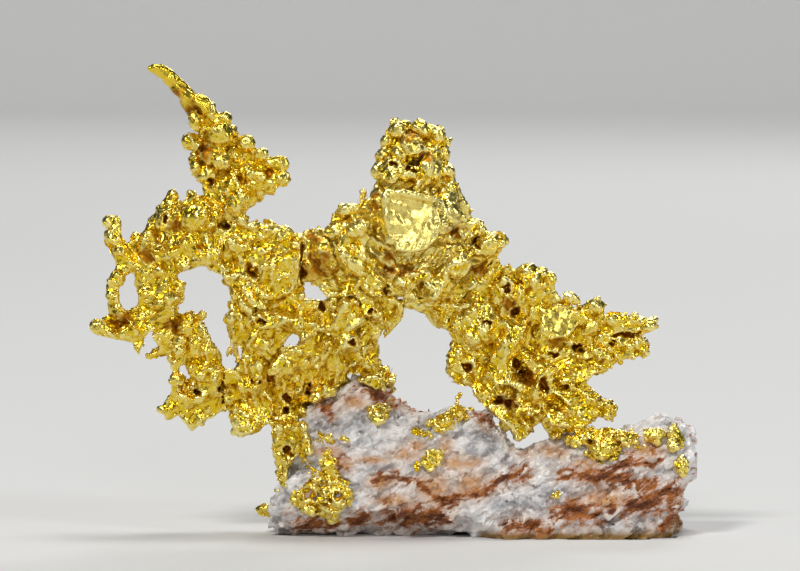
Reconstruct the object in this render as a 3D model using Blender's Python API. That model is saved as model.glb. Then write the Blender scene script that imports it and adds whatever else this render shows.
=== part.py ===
"""A small cabinet specimen of native gold: crystallised leaf gold standing on a block of milky quartz.

Lengths below are in millimetres and become metres when a shape is made. +X is to the right of the
specimen's face, +Y goes away from the viewer, +Z is up. The origin is on the flat underside of the stone.
Each branch of the gold is drawn as the real one grew: thin leaves with ragged outlines in the XZ plane,
ropes of grains, round knobs and flat crystals, all fused into one skin and then crumpled.
"""

import math
import random

import bmesh
import bpy
from mathutils import Matrix, Vector, noise
from mathutils.bvhtree import BVHTree
from mathutils.geometry import intersect_point_line

MM = 0.001
FIT_GAP = 0.32        # clear distance between two pieces that meet
FORK_GAP = 0.30       # width of the parting where the gold is split at a fork
GOLD_SKIN = 0.30      # size of the cells that fuse the gold's shapes into one skin
STONE_SKIN = 0.55     # the same for the stone
LEAF = 1.7            # usual thickness of a gold leaf with the grains on it
SWAY_ALONG = 1.7      # how far the gold sheet swings to the front and back along its length
SWAY_UP = 1.3         # and up its height
SWAY_FOOT = 13.0      # the height where that begins
SWAY_RISE = 10.0      # and over which it grows to the full

# How many triangles each piece is thinned to before it is cut at its forks.
TRIANGLES = {
    "stone": 1300,
    "loop": 1230,
    "crest": 780,
    "web": 1400,
    "tower": 1420,
    "spray": 1560,
    "end seam": 320,
    "tip nub": 80,
    "front patch": 220,
    "right ledge": 220,
    "notch vein": 160,
    "speck": 45,
}


def clear_scene():
    for obj in list(bpy.data.objects):
        bpy.data.objects.remove(obj)


def material(name, colour, metallic, roughness):
    made = bpy.data.materials.new(name)
    made.use_nodes = True
    shader = made.node_tree.nodes["Principled BSDF"]
    shader.inputs["Base Color"].default_value = (*colour, 1.0)
    shader.inputs["Metallic"].default_value = metallic
    shader.inputs["Roughness"].default_value = roughness
    return made


def mesh_object(name, bm, look=None):
    """The bmesh as an object in the scene, with its one material."""
    mesh = bpy.data.meshes.new(name)
    bm.to_mesh(mesh)
    bm.free()
    if look:
        mesh.materials.append(look)
    obj = bpy.data.objects.new(name, mesh)
    bpy.context.scene.collection.objects.link(obj)
    return obj


def settled(obj):
    """The object's mesh with its modifiers applied, as a new bmesh. The object itself goes."""
    bpy.context.view_layer.update()
    graph = bpy.context.evaluated_depsgraph_get()
    bm = bmesh.new()
    bm.from_mesh(obj.evaluated_get(graph).to_mesh())
    bpy.data.objects.remove(obj)
    return bm


def fused(bm, cell):
    """One closed skin round all the overlapping shapes in the bmesh."""
    obj = mesh_object("fusing", bm)
    remesh = obj.modifiers.new("skin", "REMESH")
    remesh.mode = "VOXEL"
    remesh.voxel_size = cell * MM
    return settled(obj)


def thinned(bm, triangles):
    """The same form with about that many triangles."""
    bmesh.ops.triangulate(bm, faces=bm.faces)
    ratio = min(1.0, triangles / len(bm.faces))
    obj = mesh_object("thinning", bm)
    decimate = obj.modifiers.new("fewer faces", "DECIMATE")
    decimate.ratio = ratio
    return settled(obj)


def largest_island(bm):
    """Only the biggest connected surface: loose crumbs and sealed hollows go."""
    seen, islands = set(), []
    for start in bm.verts:
        if start in seen:
            continue
        island, edge_of_it = [start], [start]
        seen.add(start)
        while edge_of_it:
            vert = edge_of_it.pop()
            for edge in vert.link_edges:
                other = edge.other_vert(vert)
                if other not in seen:
                    seen.add(other)
                    island.append(other)
                    edge_of_it.append(other)
        islands.append(island)
    islands.sort(key=len)
    crumbs = [vert for island in islands[:-1] for vert in island]
    bmesh.ops.delete(bm, geom=crumbs, context="VERTS")
    return bm


def cell_facets(point, size, seed):
    """Height of a broken surface at the point, -1 to 1: each cell of the break is a flat of its own tilt."""
    place = Vector((point[0] / size[0] + seed, point[1] / size[1], point[2] / size[2]))
    _, nearest = noise.voronoi(place)
    chance = noise.cell_vector(nearest[0] * 9.7) - Vector((0.5, 0.5, 0.5))
    return chance.z + 1.6 * chance.dot(place - nearest[0])


def displaced(bm, height):
    """Moves each vertex along its normal by height(point in mm, normal) in mm."""
    bm.normal_update()
    moves = [vert.normal * height(vert.co / MM, vert.normal) * MM for vert in bm.verts]
    for vert, move in zip(bm.verts, moves):
        vert.co += move
    return bm


def helper(obj):
    """Marks an object as a cutter or guide, which isn't a piece of the specimen."""
    obj.hide_render = True
    obj.display_type = "WIRE"
    return obj


def half_space(point, normal):
    """A cutter that fills one side of a plane: the side that the normal points to."""
    reach = 160.0
    bm = bmesh.new()
    bmesh.ops.create_cube(bm, size=reach * MM)
    normal = Vector(normal).normalized()
    turn = normal.to_track_quat("Z", "Y").to_matrix().to_4x4()
    centre = (Vector(point) + normal * reach / 2) * MM
    bmesh.ops.transform(bm, matrix=Matrix.Translation(centre) @ turn, verts=bm.verts)
    return helper(mesh_object("plane_cutter", bm))


def cut(bm, cutters):
    """The solid with every cutter taken away."""
    obj = mesh_object("cutting", bm)
    for number, cutter in enumerate(cutters):
        boolean = obj.modifiers.new(f"cut {number}", "BOOLEAN")
        boolean.operation = "DIFFERENCE"
        boolean.solver = "EXACT"
        boolean.object = cutter
        boolean.use_self = cutter.name.startswith("clearance")
    return settled(obj)


def box(low, high):
    """A cutter that fills a box between two corners."""
    low, high = Vector(low), Vector(high)
    bm = bmesh.new()
    bmesh.ops.create_cube(bm, size=MM)
    bmesh.ops.scale(bm, vec=high - low, verts=bm.verts)
    bmesh.ops.translate(bm, vec=(low + high) / 2 * MM, verts=bm.verts)
    return helper(mesh_object("box_cutter", bm))


def clearance_of(bm, gap):
    """A cutter a little larger all round than the solid, which keeps its neighbours off it."""
    grown = bm.copy()
    displaced(grown, lambda point, normal: gap)
    return helper(mesh_object("clearance", grown))


# The stone: a log of milky quartz broken along slanting layers. A cross-section is a row of
# (x, height of the ridge, ridge y, belly y, foot y, foot z, back y).
STONE_SECTIONS = [
    (-24.1, 3.5, -1.2, -2.6, -1.6, 2.1, 1.4),
    (-23.2, 5.0, -1.0, -4.4, -3.2, 1.2, 3.8),
    (-22.2, 7.4, -0.6, -5.2, -3.8, 0.9, 5.2),
    (-21.0, 11.6, 0.2, -5.8, -4.2, 0.9, 6.2),
    (-19.8, 14.9, 0.6, -6.2, -4.5, 0.9, 6.8),
    (-16.6, 16.7, 1.0, -6.6, -4.6, 0.9, 7.0),
    (-14.6, 18.1, 1.2, -6.8, -4.6, 0.9, 7.0),
    (-11.6, 17.2, 1.2, -7.0, -4.6, 0.9, 7.2),
    (-8.8, 15.0, 0.8, -7.2, -4.6, 0.9, 7.4),
    (-5.4, 14.1, 0.2, -7.4, -4.8, 0.9, 7.6),
    (-1.2, 14.9, 0.4, -7.4, -5.0, 0.8, 7.6),
    (0.7, 13.8, 0.6, -7.2, -6.6, 0.2, 7.6),
    (2.6, 11.8, 0.2, -7.0, -7.3, -0.2, 7.6),
    (4.7, 9.5, 0.0, -6.8, -7.3, -0.2, 7.4),
    (6.8, 10.8, 0.2, -6.8, -7.3, -0.2, 7.4),
    (10.4, 11.8, -0.4, -6.8, -7.2, -0.2, 7.4),
    (15.0, 12.0, -0.6, -6.8, -7.2, -0.2, 7.4),
    (18.4, 12.8, -0.2, -6.6, -7.0, -0.2, 7.2),
    (20.9, 13.7, 0.2, -6.2, -6.6, -0.2, 6.8),
    (21.9, 13.5, 0.6, -5.4, -5.8, 0.6, 6.2),
    (23.0, 13.0, 0.8, -4.8, -4.6, 3.6, 5.6),
    (23.9, 12.3, 1.0, -4.0, -3.6, 5.4, 4.8),
    (24.7, 11.2, 1.2, -2.6, -2.0, 8.0, 3.8),
]
UNDERCUT = -1.0          # where the left part of the underside first touches the base plane, in y
STONE_UNDERSIDE = -0.6   # the sections reach below the base plane, which then cuts them flat
LAYER_DIP = math.radians(24)
LAYER_CELL = (7.0, 4.2, 2.5)


def stone_section(x, top, ridge, belly, foot, foot_z, back):
    """One closed cross-section of the stone, from its front foot over the ridge to the back foot."""
    under = STONE_UNDERSIDE if foot_z < 1.5 else foot_z
    touch = foot * 0.3 if foot_z < 0.5 or foot_z > 1.5 else UNDERCUT
    return [
        Vector((x, y, z)) * MM
        for y, z in [
            (foot, max(foot_z, under)),
            (belly, foot_z + 0.16 * (top - foot_z)),
            (belly * 1.02, foot_z + 0.40 * (top - foot_z)),
            (belly * 0.80 + ridge * 0.2, foot_z + 0.66 * (top - foot_z)),
            (belly * 0.34 + ridge * 0.66, foot_z + 0.91 * (top - foot_z)),
            (ridge, top),
            (back * 0.42 + ridge * 0.58, foot_z + 0.92 * (top - foot_z)),
            (back * 0.86, foot_z + 0.66 * (top - foot_z)),
            (back, foot_z + 0.34 * (top - foot_z)),
            (back * 0.9, foot_z * 0.5 + 0.1 * top),
            (back * 0.8, under),
            (touch, under),
        ]
    ]


def stone_relief(point, normal):
    """Broken layers that dip to the left, in steps of up to half a millimetre."""
    dipped = Matrix.Rotation(-LAYER_DIP, 3, "Y") @ point
    chips = 0.75 * cell_facets(dipped, LAYER_CELL, 3.0)
    grain = 0.22 * cell_facets(dipped, (1.9, 1.9, 1.3), 8.0)
    return chips + grain


def quartz_stone():
    """The stone as a bmesh: lofted, broken into layers and cut flat below."""
    bm = bmesh.new()
    rings = []
    for section in STONE_SECTIONS:
        verts = [bm.verts.new(place) for place in stone_section(*section)]
        rings.append([bm.edges.new((a, b)) for a, b in zip(verts, verts[1:] + verts[:1])])
        if len(rings) in (1, len(STONE_SECTIONS)):
            bm.faces.new(verts)
    for low, high in zip(rings, rings[1:]):
        bmesh.ops.bridge_loops(bm, edges=low + high)
    bmesh.ops.recalc_face_normals(bm, faces=bm.faces)
    bm = fused(bm, STONE_SKIN)
    displaced(bm, stone_relief)
    bm = thinned(bm, TRIANGLES["stone"])
    base = half_space((0, 0, 0), (0, 0, -1))
    return largest_island(cut(bm, [base]))


def inside(outline, x, z):
    """Whether the point is inside the closed outline."""
    found = False
    for (ax, az), (bx, bz) in zip(outline, outline[1:] + outline[:1]):
        if (az > z) != (bz > z) and x < ax + (z - az) * (bx - ax) / (bz - az):
            found = not found
    return found


def edge_distance(outline, x, z):
    """Distance from the point to the nearest side of the outline."""
    here, least = Vector((x, z)), 1e9
    for a, b in zip(outline, outline[1:] + outline[:1]):
        near, share = intersect_point_line(here, Vector(a), Vector(b))
        near = Vector(a).lerp(Vector(b), min(1.0, max(0.0, share)))
        least = min(least, (near.xy - here).length)
    return least


class Gold:
    """One branch of the gold while it is put together from leaves, ropes, knobs and crystals."""

    def __init__(self, seed):
        self.bm = bmesh.new()
        self.chance = random.Random(seed)

    def leaf(self, outline, y, thick=LEAF, lean=(0.0, 0.0), holes=(), lumps=0, lump=(0.7, 1.3), proud=0.9,
             blades=0):
        """A thin leaf: an outline in x and z, with holes, at depth y about its middle. lean is how far y
        moves for a millimetre of x and of z. lumps are the knots of grains on both of its faces, and blades
        the smaller leaves that stand up from them."""
        rings = [outline, *holes]
        mid_x = sum(x for x, _ in outline) / len(outline)
        mid_z = sum(z for _, z in outline) / len(outline)

        def depth(x, z):
            return y + lean[0] * (x - mid_x) + lean[1] * (z - mid_z)

        edges = []
        for ring in rings:
            verts = [
                self.bm.verts.new(Vector((x, depth(x, z) - thick / 2, z)) * MM) for x, z in ring
            ]
            edges += [self.bm.edges.new(pair) for pair in zip(verts, verts[1:] + verts[:1])]
        filled = bmesh.ops.triangle_fill(self.bm, use_beauty=True, edges=edges)["geom"]
        faces = [part for part in filled if isinstance(part, bmesh.types.BMFace)]
        made = bmesh.ops.extrude_face_region(self.bm, geom=faces, use_keep_orig=True)["geom"]
        verts = [part for part in made if isinstance(part, bmesh.types.BMVert)]
        bmesh.ops.translate(self.bm, vec=(0, thick * MM, 0), verts=verts)
        xs, zs = [x for x, _ in outline], [z for _, z in outline]
        placed = 0
        for _ in range(60 * (lumps + blades)):
            if placed == lumps + blades:
                break
            x, z = self.chance.uniform(min(xs), max(xs)), self.chance.uniform(min(zs), max(zs))
            radius = self.chance.uniform(*lump)
            room = min(edge_distance(ring, x, z) for ring in rings)
            if not inside(outline, x, z) or any(inside(hole, x, z) for hole in holes):
                continue
            side = -1 if placed % 2 else 1
            if placed < lumps and room > 0.75 * radius:
                out = thick / 2 + proud * self.chance.uniform(-0.2, 1.0) * min(1.0, room / 1.5)
                self.lump(x, z, depth(x, z) + side * out, radius)
                placed += 1
            elif placed >= lumps and room > 1.3 * radius:
                out = thick / 2 + proud * self.chance.uniform(0.5, 0.9)
                self.blade(x, z, depth(x, z) + side * out, radius)
                placed += 1

    def lump(self, x, z, y, radius):
        """A knot of grains: a ball drawn out in a direction of its own."""
        stretch = [self.chance.uniform(0.75, 1.25) * radius * MM for _ in range(3)]
        turn = Matrix.Rotation(self.chance.uniform(0, math.pi), 4, Vector((1, 1, 1)))
        place = Matrix.Translation(Vector((x, y, z)) * MM) @ turn @ Matrix.Diagonal((*stretch, 1.0))
        bmesh.ops.create_icosphere(self.bm, subdivisions=2, radius=1.0, matrix=place)

    def blade(self, x, z, y, radius):
        """A small leaf that stands up from the sheet at a slant."""
        width, height = self.chance.uniform(2.4, 3.4) * radius, self.chance.uniform(1.6, 2.4) * radius
        nod = (self.chance.uniform(-62, 62), self.chance.uniform(-50, 50))
        sides = self.chance.choice((3, 4, 6))
        self.crystal(x, z, y, width, height, 0.85, self.chance.uniform(0, 180), nod, sides)

    def knobs(self, places):
        """Round knobs, each x, z, y and radius."""
        for x, z, y, radius in places:
            place = Matrix.Translation(Vector((x, y, z)) * MM)
            bmesh.ops.create_icosphere(self.bm, subdivisions=2, radius=radius * MM, matrix=place)

    def rope(self, stations, beat=0.55):
        """A rope of grains through stations of x, z, y and radius: a grain at every beat of its radius."""
        for (ax, az, ay, ar), (bx, bz, by, br) in zip(stations, stations[1:]):
            a, b = Vector((ax, ay, az)), Vector((bx, by, bz))
            steps = max(1, math.ceil((b - a).length / (beat * min(ar, br))))
            for step in range(steps + 1):
                share = step / steps
                radius = (ar + (br - ar) * share) * self.chance.uniform(0.86, 1.1)
                centre = a.lerp(b, share)
                self.knobs([(centre.x, centre.z, centre.y, radius)])

    def crystal(self, x, z, y, width, height, thick, turn, nod, sides=6):
        """A flat crystal with bevelled sides. turn is about its own normal, nod leans it back, in degrees."""
        spread = (
            Matrix.Translation(Vector((x, y, z)) * MM)
            @ Matrix.Rotation(math.radians(90 + nod[0]), 4, "X")
            @ Matrix.Rotation(math.radians(nod[1]), 4, "Y")
            @ Matrix.Rotation(math.radians(turn), 4, "Z")
            @ Matrix.Diagonal((width / 2, height / 2, thick, 1.0))
            @ Matrix.Scale(MM, 4)
        )
        for low, high, end in ((-0.5, 0.0, 0.86), (0.0, 0.5, 1.0)):
            bmesh.ops.create_cone(
                self.bm, cap_ends=True, segments=sides, radius1=end, radius2=1.86 - end,
                depth=0.5, matrix=spread @ Matrix.Translation((0, 0, (low + high) / 2)),
            )

    def sway(self):
        """Bends the branch forwards and backwards, more the higher it stands over the stone."""
        for vert in self.bm.verts:
            x, _, z = vert.co / MM
            rise = min(1.0, max(0.0, (z - SWAY_FOOT) / SWAY_RISE))
            wave = SWAY_ALONG * math.sin(x / 9.0 + 0.9) + SWAY_UP * math.sin(z / 7.0 - x / 24.0)
            vert.co.y += rise * wave * MM

    def finished(self, triangles, crumple=0.42, cutters=()):
        """The branch as one crumpled skin, cut at its forks and clear of the stone."""
        bm = fused(self.bm, GOLD_SKIN)
        seed = self.chance.uniform(0, 50)

        def relief(point, normal):
            folds = 1.0 - 2.4 * abs(noise.noise(point / 2.3 + Vector((seed, 0, 0))))
            flats = cell_facets(point, (1.7, 1.7, 1.7), seed)
            across = 0.35 + 0.65 * abs(normal.y)
            return crumple * across * (0.55 * folds + 0.6 * flats)

        displaced(bm, relief)
        bm = thinned(largest_island(bm), triangles)
        return largest_island(cut(bm, cutters))


# Forks of the gold: a plane through a point, and the two branches stand on either side of it.
LOOP_FORK = ((-29.45, 0, 0), (1, 0, 0))
CREST_LEFT_FORK = ((-30.9, 0, 38.1), (1, 0, 1.05))
CREST_FOOT_FORK = ((-28.0, 0, 35.85), (0.05, 0, 1))
TOWER_CORNER = (-20.2, 27.2)   # the tower stands right of this x and above this z
TOWER_SIDE = 7.3               # height of its left side, which the web stands against
ARCH_FOOT = -8.9               # left of this x the window's arch belongs to the web
SEAM_HEAD = 12.9               # the web ends and the left end seam begins at this height
SEAM_SIDE = -24.4
FAR = 60.0
SPRAY_FORK = ((-1.6, 0, 27.2), (1, 0, -0.75))


def before_fork(fork):
    """The cutter for the branch on the near side of the fork's plane."""
    point, normal = Vector(fork[0]), Vector(fork[1]).normalized()
    return half_space(point - normal * FORK_GAP / 2, normal)


def after_fork(fork):
    """The cutter for the branch on the far side."""
    point, normal = Vector(fork[0]), Vector(fork[1]).normalized()
    return half_space(point + normal * FORK_GAP / 2, -normal)


def tower_cutters():
    """What the tower leaves to the web: the part beside its left side, and the part under its foot."""
    half = FORK_GAP / 2
    left, foot = TOWER_CORNER
    return [
        box((-FAR, -FAR, 0), (left + half, FAR, foot + TOWER_SIDE)),
        box((-FAR, -FAR, 0), (ARCH_FOOT + half, FAR, foot + half)),
    ]


def web_cutters():
    """What the web leaves to the tower and to the seam."""
    half = FORK_GAP / 2
    left, foot = TOWER_CORNER
    return [
        box((left - half, -FAR, foot - half), (FAR, FAR, FAR)),
        box((ARCH_FOOT - half, -FAR, 0), (FAR, FAR, FAR)),
        box((SEAM_SIDE, -FAR, 0), (0, FAR, SEAM_HEAD + half)),
    ]


def left_loop():
    """The ragged ring at the left: a prong of grains, a column, a saddle with a spike, and a fan below."""
    gold = Gold(11)
    gold.rope([
        (-42.0, 36.0, -1.6, 0.72), (-41.9, 35.0, -1.5, 0.78), (-41.8, 34.0, -1.4, 0.8),
        (-41.6, 33.0, -1.2, 1.0), (-41.2, 32.0, -1.0, 1.05), (-40.7, 31.1, -0.8, 1.0),
        (-41.2, 30.1, -1.0, 0.9), (-41.5, 29.3, -1.2, 0.85), (-42.2, 28.3, -1.5, 0.92),
        (-42.1, 27.3, -1.6, 0.85), (-42.1, 26.3, -1.6, 0.85), (-41.8, 25.4, -1.4, 0.95),
        (-40.6, 24.8, -1.0, 0.95), (-39.3, 25.0, -0.6, 0.95), (-38.3, 25.6, -0.2, 0.9),
    ])
    tail = [
        (-44.9, 23.3), (-44.6, 23.9), (-43.9, 24.3), (-43.5, 25.0), (-42.7, 24.9), (-42.0, 25.3),
        (-40.4, 25.2), (-39.0, 24.7), (-38.0, 24.2), (-38.0, 23.1), (-38.5, 22.7), (-38.6, 21.6),
        (-39.0, 20.6), (-39.5, 20.7), (-40.0, 22.2), (-41.4, 22.2), (-43.3, 22.5), (-44.4, 22.9),
    ]
    gold.leaf(tail, -1.0, thick=1.2, lean=(0.12, 0.2), lumps=7, lump=(0.5, 0.85), proud=0.7)
    column = [
        (-41.6, 33.4), (-40.3, 33.6), (-39.5, 34.2), (-38.8, 34.3), (-38.0, 35.0), (-38.3, 36.0),
        (-37.8, 36.6), (-36.9, 37.2), (-36.3, 38.4), (-35.6, 39.6), (-35.2, 39.6), (-34.7, 38.0),
        (-34.0, 38.2), (-32.9, 39.0), (-32.2, 38.9), (-30.9, 38.0), (-29.9, 36.9), (-29.6, 36.0),
        (-30.1, 35.0), (-28.4, 34.4), (-28.6, 29.6), (-30.9, 30.5), (-32.3, 31.0), (-33.2, 30.2),
        (-34.8, 30.1), (-34.8, 29.2), (-34.0, 29.1), (-33.8, 28.5), (-34.1, 27.7), (-33.9, 26.7),
        (-34.8, 26.3), (-35.0, 25.2), (-35.4, 22.4), (-36.4, 21.7), (-37.4, 22.4), (-37.0, 23.4),
        (-38.0, 24.2), (-38.7, 25.4), (-39.1, 26.6), (-39.6, 27.9), (-39.4, 29.0), (-39.8, 30.3),
        (-41.0, 31.4),
    ]
    gold.leaf(column, 0.0, thick=1.9, lean=(0.05, -0.03), lumps=26, proud=1.5, blades=10)
    fan = [
        (-35.3, 24.8), (-34.3, 25.5), (-33.7, 25.1), (-32.3, 25.1), (-31.8, 25.4), (-31.9, 24.2),
        (-31.3, 23.3), (-30.6, 21.7), (-29.8, 21.0), (-28.6, 19.3), (-27.6, 18.6), (-27.8, 14.6),
        (-29.2, 14.5), (-30.3, 13.6), (-30.5, 13.0), (-31.5, 13.1), (-32.3, 12.4), (-33.2, 11.7),
        (-33.9, 12.6), (-34.9, 13.4), (-35.5, 12.7), (-36.2, 12.9), (-36.5, 13.7), (-36.8, 14.5),
        (-36.2, 15.2), (-35.6, 16.5), (-35.4, 18.4), (-35.8, 19.9), (-36.2, 21.3), (-35.8, 22.6),
    ]
    slit = [
        (-34.2, 19.9), (-34.6, 19.0), (-34.5, 17.4), (-33.0, 17.2), (-32.8, 17.8), (-33.6, 18.2),
        (-33.9, 19.0),
    ]
    gold.leaf(fan, 0.6, thick=1.5, lean=(-0.1, 0.06), holes=[slit], lumps=20, proud=1.4, blades=7)
    gold.rope([(-36.0, 21.2, 0.4, 0.6), (-37.4, 20.8, 0.2, 0.52), (-38.3, 20.5, 0.1, 0.5)])
    gold.rope([(-32.2, 25.1, 0.4, 0.45), (-31.6, 25.6, 0.2, 0.36)])
    gold.knobs([
        (-35.7, 36.3, -1.9, 1.35), (-33.1, 36.2, -2.0, 1.55), (-31.2, 35.9, -1.2, 1.25),
        (-38.2, 34.0, -1.5, 1.0), (-39.4, 34.0, -0.4, 0.75), (-34.4, 28.6, -0.5, 0.75),
        (-36.9, 22.7, 0.2, 0.6), (-34.0, 34.6, 1.9, 1.3), (-31.6, 36.9, 1.6, 1.2), (-37.0, 35.4, 1.3, 1.1),
        (-35.8, 13.3, 0.4, 0.62), (-37.4, 28.0, 1.5, 1.1), (-33.4, 19.2, -0.6, 0.6),
    ])
    gold.crystal(-31.3, 32.6, -2.2, 6.6, 1.8, 0.9, 0, (-24, 0), sides=6)
    gold.crystal(-33.6, 14.9, -1.2, 4.4, 3.2, 0.8, 30, (16, 10), sides=3)
    gold.crystal(-35.6, 37.9, -0.8, 1.7, 3.4, 0.9, 90, (0, 18), sides=3)
    gold.sway()
    return gold.finished(TRIANGLES["loop"], cutters=[before_fork(LOOP_FORK), before_fork(CREST_LEFT_FORK)])


def horned_crest():
    """The plume at the upper left: a wedge of round grains that ends in a long curved horn."""
    gold = Gold(23)
    body = [
        (-29.9, 36.6), (-28.8, 35.4), (-27.0, 35.4), (-26.9, 37.0), (-26.0, 37.8), (-25.2, 38.6),
        (-24.2, 39.1), (-23.6, 40.0), (-22.6, 40.1), (-22.1, 41.0), (-22.4, 42.2), (-22.6, 42.8),
        (-24.2, 42.6), (-24.6, 43.6), (-25.7, 43.8), (-26.2, 45.1), (-27.8, 45.1), (-28.1, 46.2),
        (-28.8, 47.2), (-29.9, 47.9), (-31.0, 48.2), (-32.2, 49.2), (-33.8, 48.6), (-33.4, 47.1),
        (-32.6, 46.3), (-32.0, 45.5), (-32.2, 44.4), (-33.3, 43.6), (-33.3, 42.2), (-32.8, 40.9),
        (-31.4, 39.6), (-31.6, 38.2),
    ]
    gold.leaf(body, 0.9, thick=1.8, lean=(-0.05, 0.0), lumps=22, lump=(0.7, 1.2), proud=1.5, blades=6)
    gold.rope([
        (-32.4, 48.3, 0.8, 1.1), (-33.2, 49.5, 0.7, 0.98), (-34.1, 50.7, 0.5, 0.84),
        (-35.1, 51.8, 0.2, 0.72), (-36.2, 52.9, -0.3, 0.62), (-37.0, 53.5, -0.7, 0.52),
        (-37.9, 53.4, -1.0, 0.3),
    ], beat=0.4)
    gold.knobs([
        (-32.6, 47.5, -0.4, 0.95), (-33.5, 45.1, 0.2, 1.0), (-32.6, 44.6, -0.4, 0.7),
        (-29.9, 46.2, -0.5, 1.15), (-28.4, 46.5, 0.4, 0.62), (-26.9, 44.9, 0.2, 0.9),
        (-25.1, 43.5, 0.1, 0.75), (-23.1, 42.6, 0.4, 0.72), (-22.7, 40.8, 0.2, 0.8),
        (-29.7, 42.8, -1.0, 1.1), (-32.9, 42.9, 0.4, 0.8), (-24.6, 39.4, 0.6, 0.7),
        (-27.9, 38.4, -0.8, 1.2), (-27.6, 41.6, 2.3, 1.3), (-30.4, 44.6, 2.2, 1.2),
        (-31.4, 41.6, 2.0, 1.1), (-25.6, 41.4, 2.0, 1.1), (-30.4, 48.0, 0.7, 0.5),
    ])
    gold.crystal(-23.1, 42.5, -0.1, 2.5, 1.8, 0.8, 45, (0, 0), sides=4)
    gold.crystal(-27.2, 38.6, -1.4, 1.1, 3.0, 0.7, 90, (0, -24), sides=3)
    gold.sway()
    return gold.finished(TRIANGLES["crest"], crumple=0.36, cutters=[
        after_fork(CREST_LEFT_FORK), after_fork(CREST_FOOT_FORK),
    ])


def middle_web(clearance):
    """The crumpled sheet between the loop and the tower, which runs down into the stone's left shoulder."""
    gold = Gold(37)
    shoulder = [
        (-29.6, 35.4), (-28.6, 36.0), (-27.2, 36.3), (-26.2, 36.5), (-25.2, 36.2), (-24.2, 36.0),
        (-23.1, 36.0), (-22.0, 35.4), (-21.3, 34.5), (-20.2, 34.3), (-20.2, 33.0), (-20.2, 32.0),
        (-19.9, 30.9), (-20.1, 29.6), (-20.4, 28.1), (-19.0, 27.3), (-18.1, 26.6), (-15.0, 27.6),
        (-10.6, 28.0), (-9.2, 26.4), (-9.0, 25.0), (-9.9, 23.5), (-11.0, 23.6), (-11.8, 22.4),
        (-11.4, 21.0), (-11.7, 19.0), (-10.8, 17.8), (-9.6, 16.5), (-10.6, 14.4), (-17.0, 13.6),
        (-19.8, 14.0), (-20.2, 12.4), (-23.6, 12.2), (-24.3, 13.1), (-25.2, 12.0),
        (-26.6, 11.3), (-27.6, 10.6), (-28.2, 11.4), (-28.9, 12.9), (-28.9, 14.5), (-29.8, 15.0),
        (-29.8, 18.6), (-28.2, 18.7), (-27.5, 19.8), (-27.7, 20.6), (-27.2, 21.5), (-28.6, 22.2),
        (-28.7, 24.1), (-28.2, 26.4), (-28.9, 27.8), (-29.0, 28.9), (-30.0, 29.5), (-30.8, 30.4),
        (-30.4, 31.4), (-29.8, 31.6),
    ]
    holes = [
        [(-22.5, 21.3), (-22.7, 22.1), (-21.8, 23.1), (-20.0, 22.4), (-20.8, 21.5)],
        [(-20.4, 20.2), (-19.6, 20.6), (-18.6, 20.6), (-18.9, 19.7), (-19.8, 19.3)],
        [(-22.7, 15.3), (-22.6, 15.9), (-21.9, 15.8), (-22.0, 15.1)],
        [(-22.9, 13.8), (-22.6, 14.5), (-22.1, 14.3), (-22.2, 13.6)],
        [(-26.3, 30.0), (-26.2, 30.6), (-25.4, 30.6), (-25.8, 29.8)],
    ]
    gold.leaf(shoulder, 1.1, thick=1.7, lean=(0.06, -0.03), holes=holes, lumps=48, proud=1.5, blades=22)
    folded_leaf = [
        (-25.4, 29.4), (-24.6, 31.2), (-23.6, 32.1), (-21.9, 32.2), (-20.5, 31.4), (-20.6, 29.4),
        (-21.8, 27.6), (-24.0, 27.0), (-25.2, 28.0),
    ]
    gold.leaf(folded_leaf, -1.2, thick=1.0, lean=(0.12, -0.35))
    front_fan = [
        (-28.6, 12.4), (-27.6, 14.6), (-25.2, 15.6), (-23.4, 14.2), (-25.0, 12.2), (-27.4, 11.0),
    ]
    gold.leaf(front_fan, -0.3, thick=1.0, lean=(0.05, 0.25))
    gold.rope([(-28.4, 22.6, 0.2, 0.34), (-28.8, 21.6, 0.1, 0.3), (-29.0, 20.2, 0.1, 0.32)], beat=0.9)
    gold.crystal(-28.2, 25.2, 0.0, 2.3, 1.0, 0.6, 30, (0, -10), sides=4)
    gold.crystal(-24.6, 24.6, -1.2, 3.6, 2.6, 0.8, 15, (-20, 18), sides=6)
    gold.crystal(-15.2, 24.6, -0.8, 6.4, 3.4, 0.9, 80, (8, 6), sides=6)
    gold.knobs([
        (-25.8, 35.3, 0.6, 0.8), (-23.2, 34.8, 0.6, 0.85), (-27.0, 33.0, -0.8, 1.0),
        (-9.9, 24.9, 1.2, 0.95), (-10.4, 24.1, 1.0, 0.8), (-12.4, 19.6, 1.4, 1.0),
        (-26.6, 26.6, -1.0, 1.1), (-22.2, 19.2, -0.9, 1.2), (-25.6, 18.8, -0.8, 1.1),
        (-24.6, 33.4, 2.6, 1.3), (-26.4, 24.4, 2.6, 1.4), (-23.4, 17.2, 2.8, 1.3),
        (-17.4, 22.4, 3.0, 1.4), (-14.0, 21.0, 3.0, 1.3), (-27.5, 11.4, 0.8, 0.6),
    ])
    gold.sway()
    return gold.finished(TRIANGLES["web"], cutters=[
        after_fork(LOOP_FORK), before_fork(CREST_FOOT_FORK), clearance, *web_cutters(),
    ])


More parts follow.
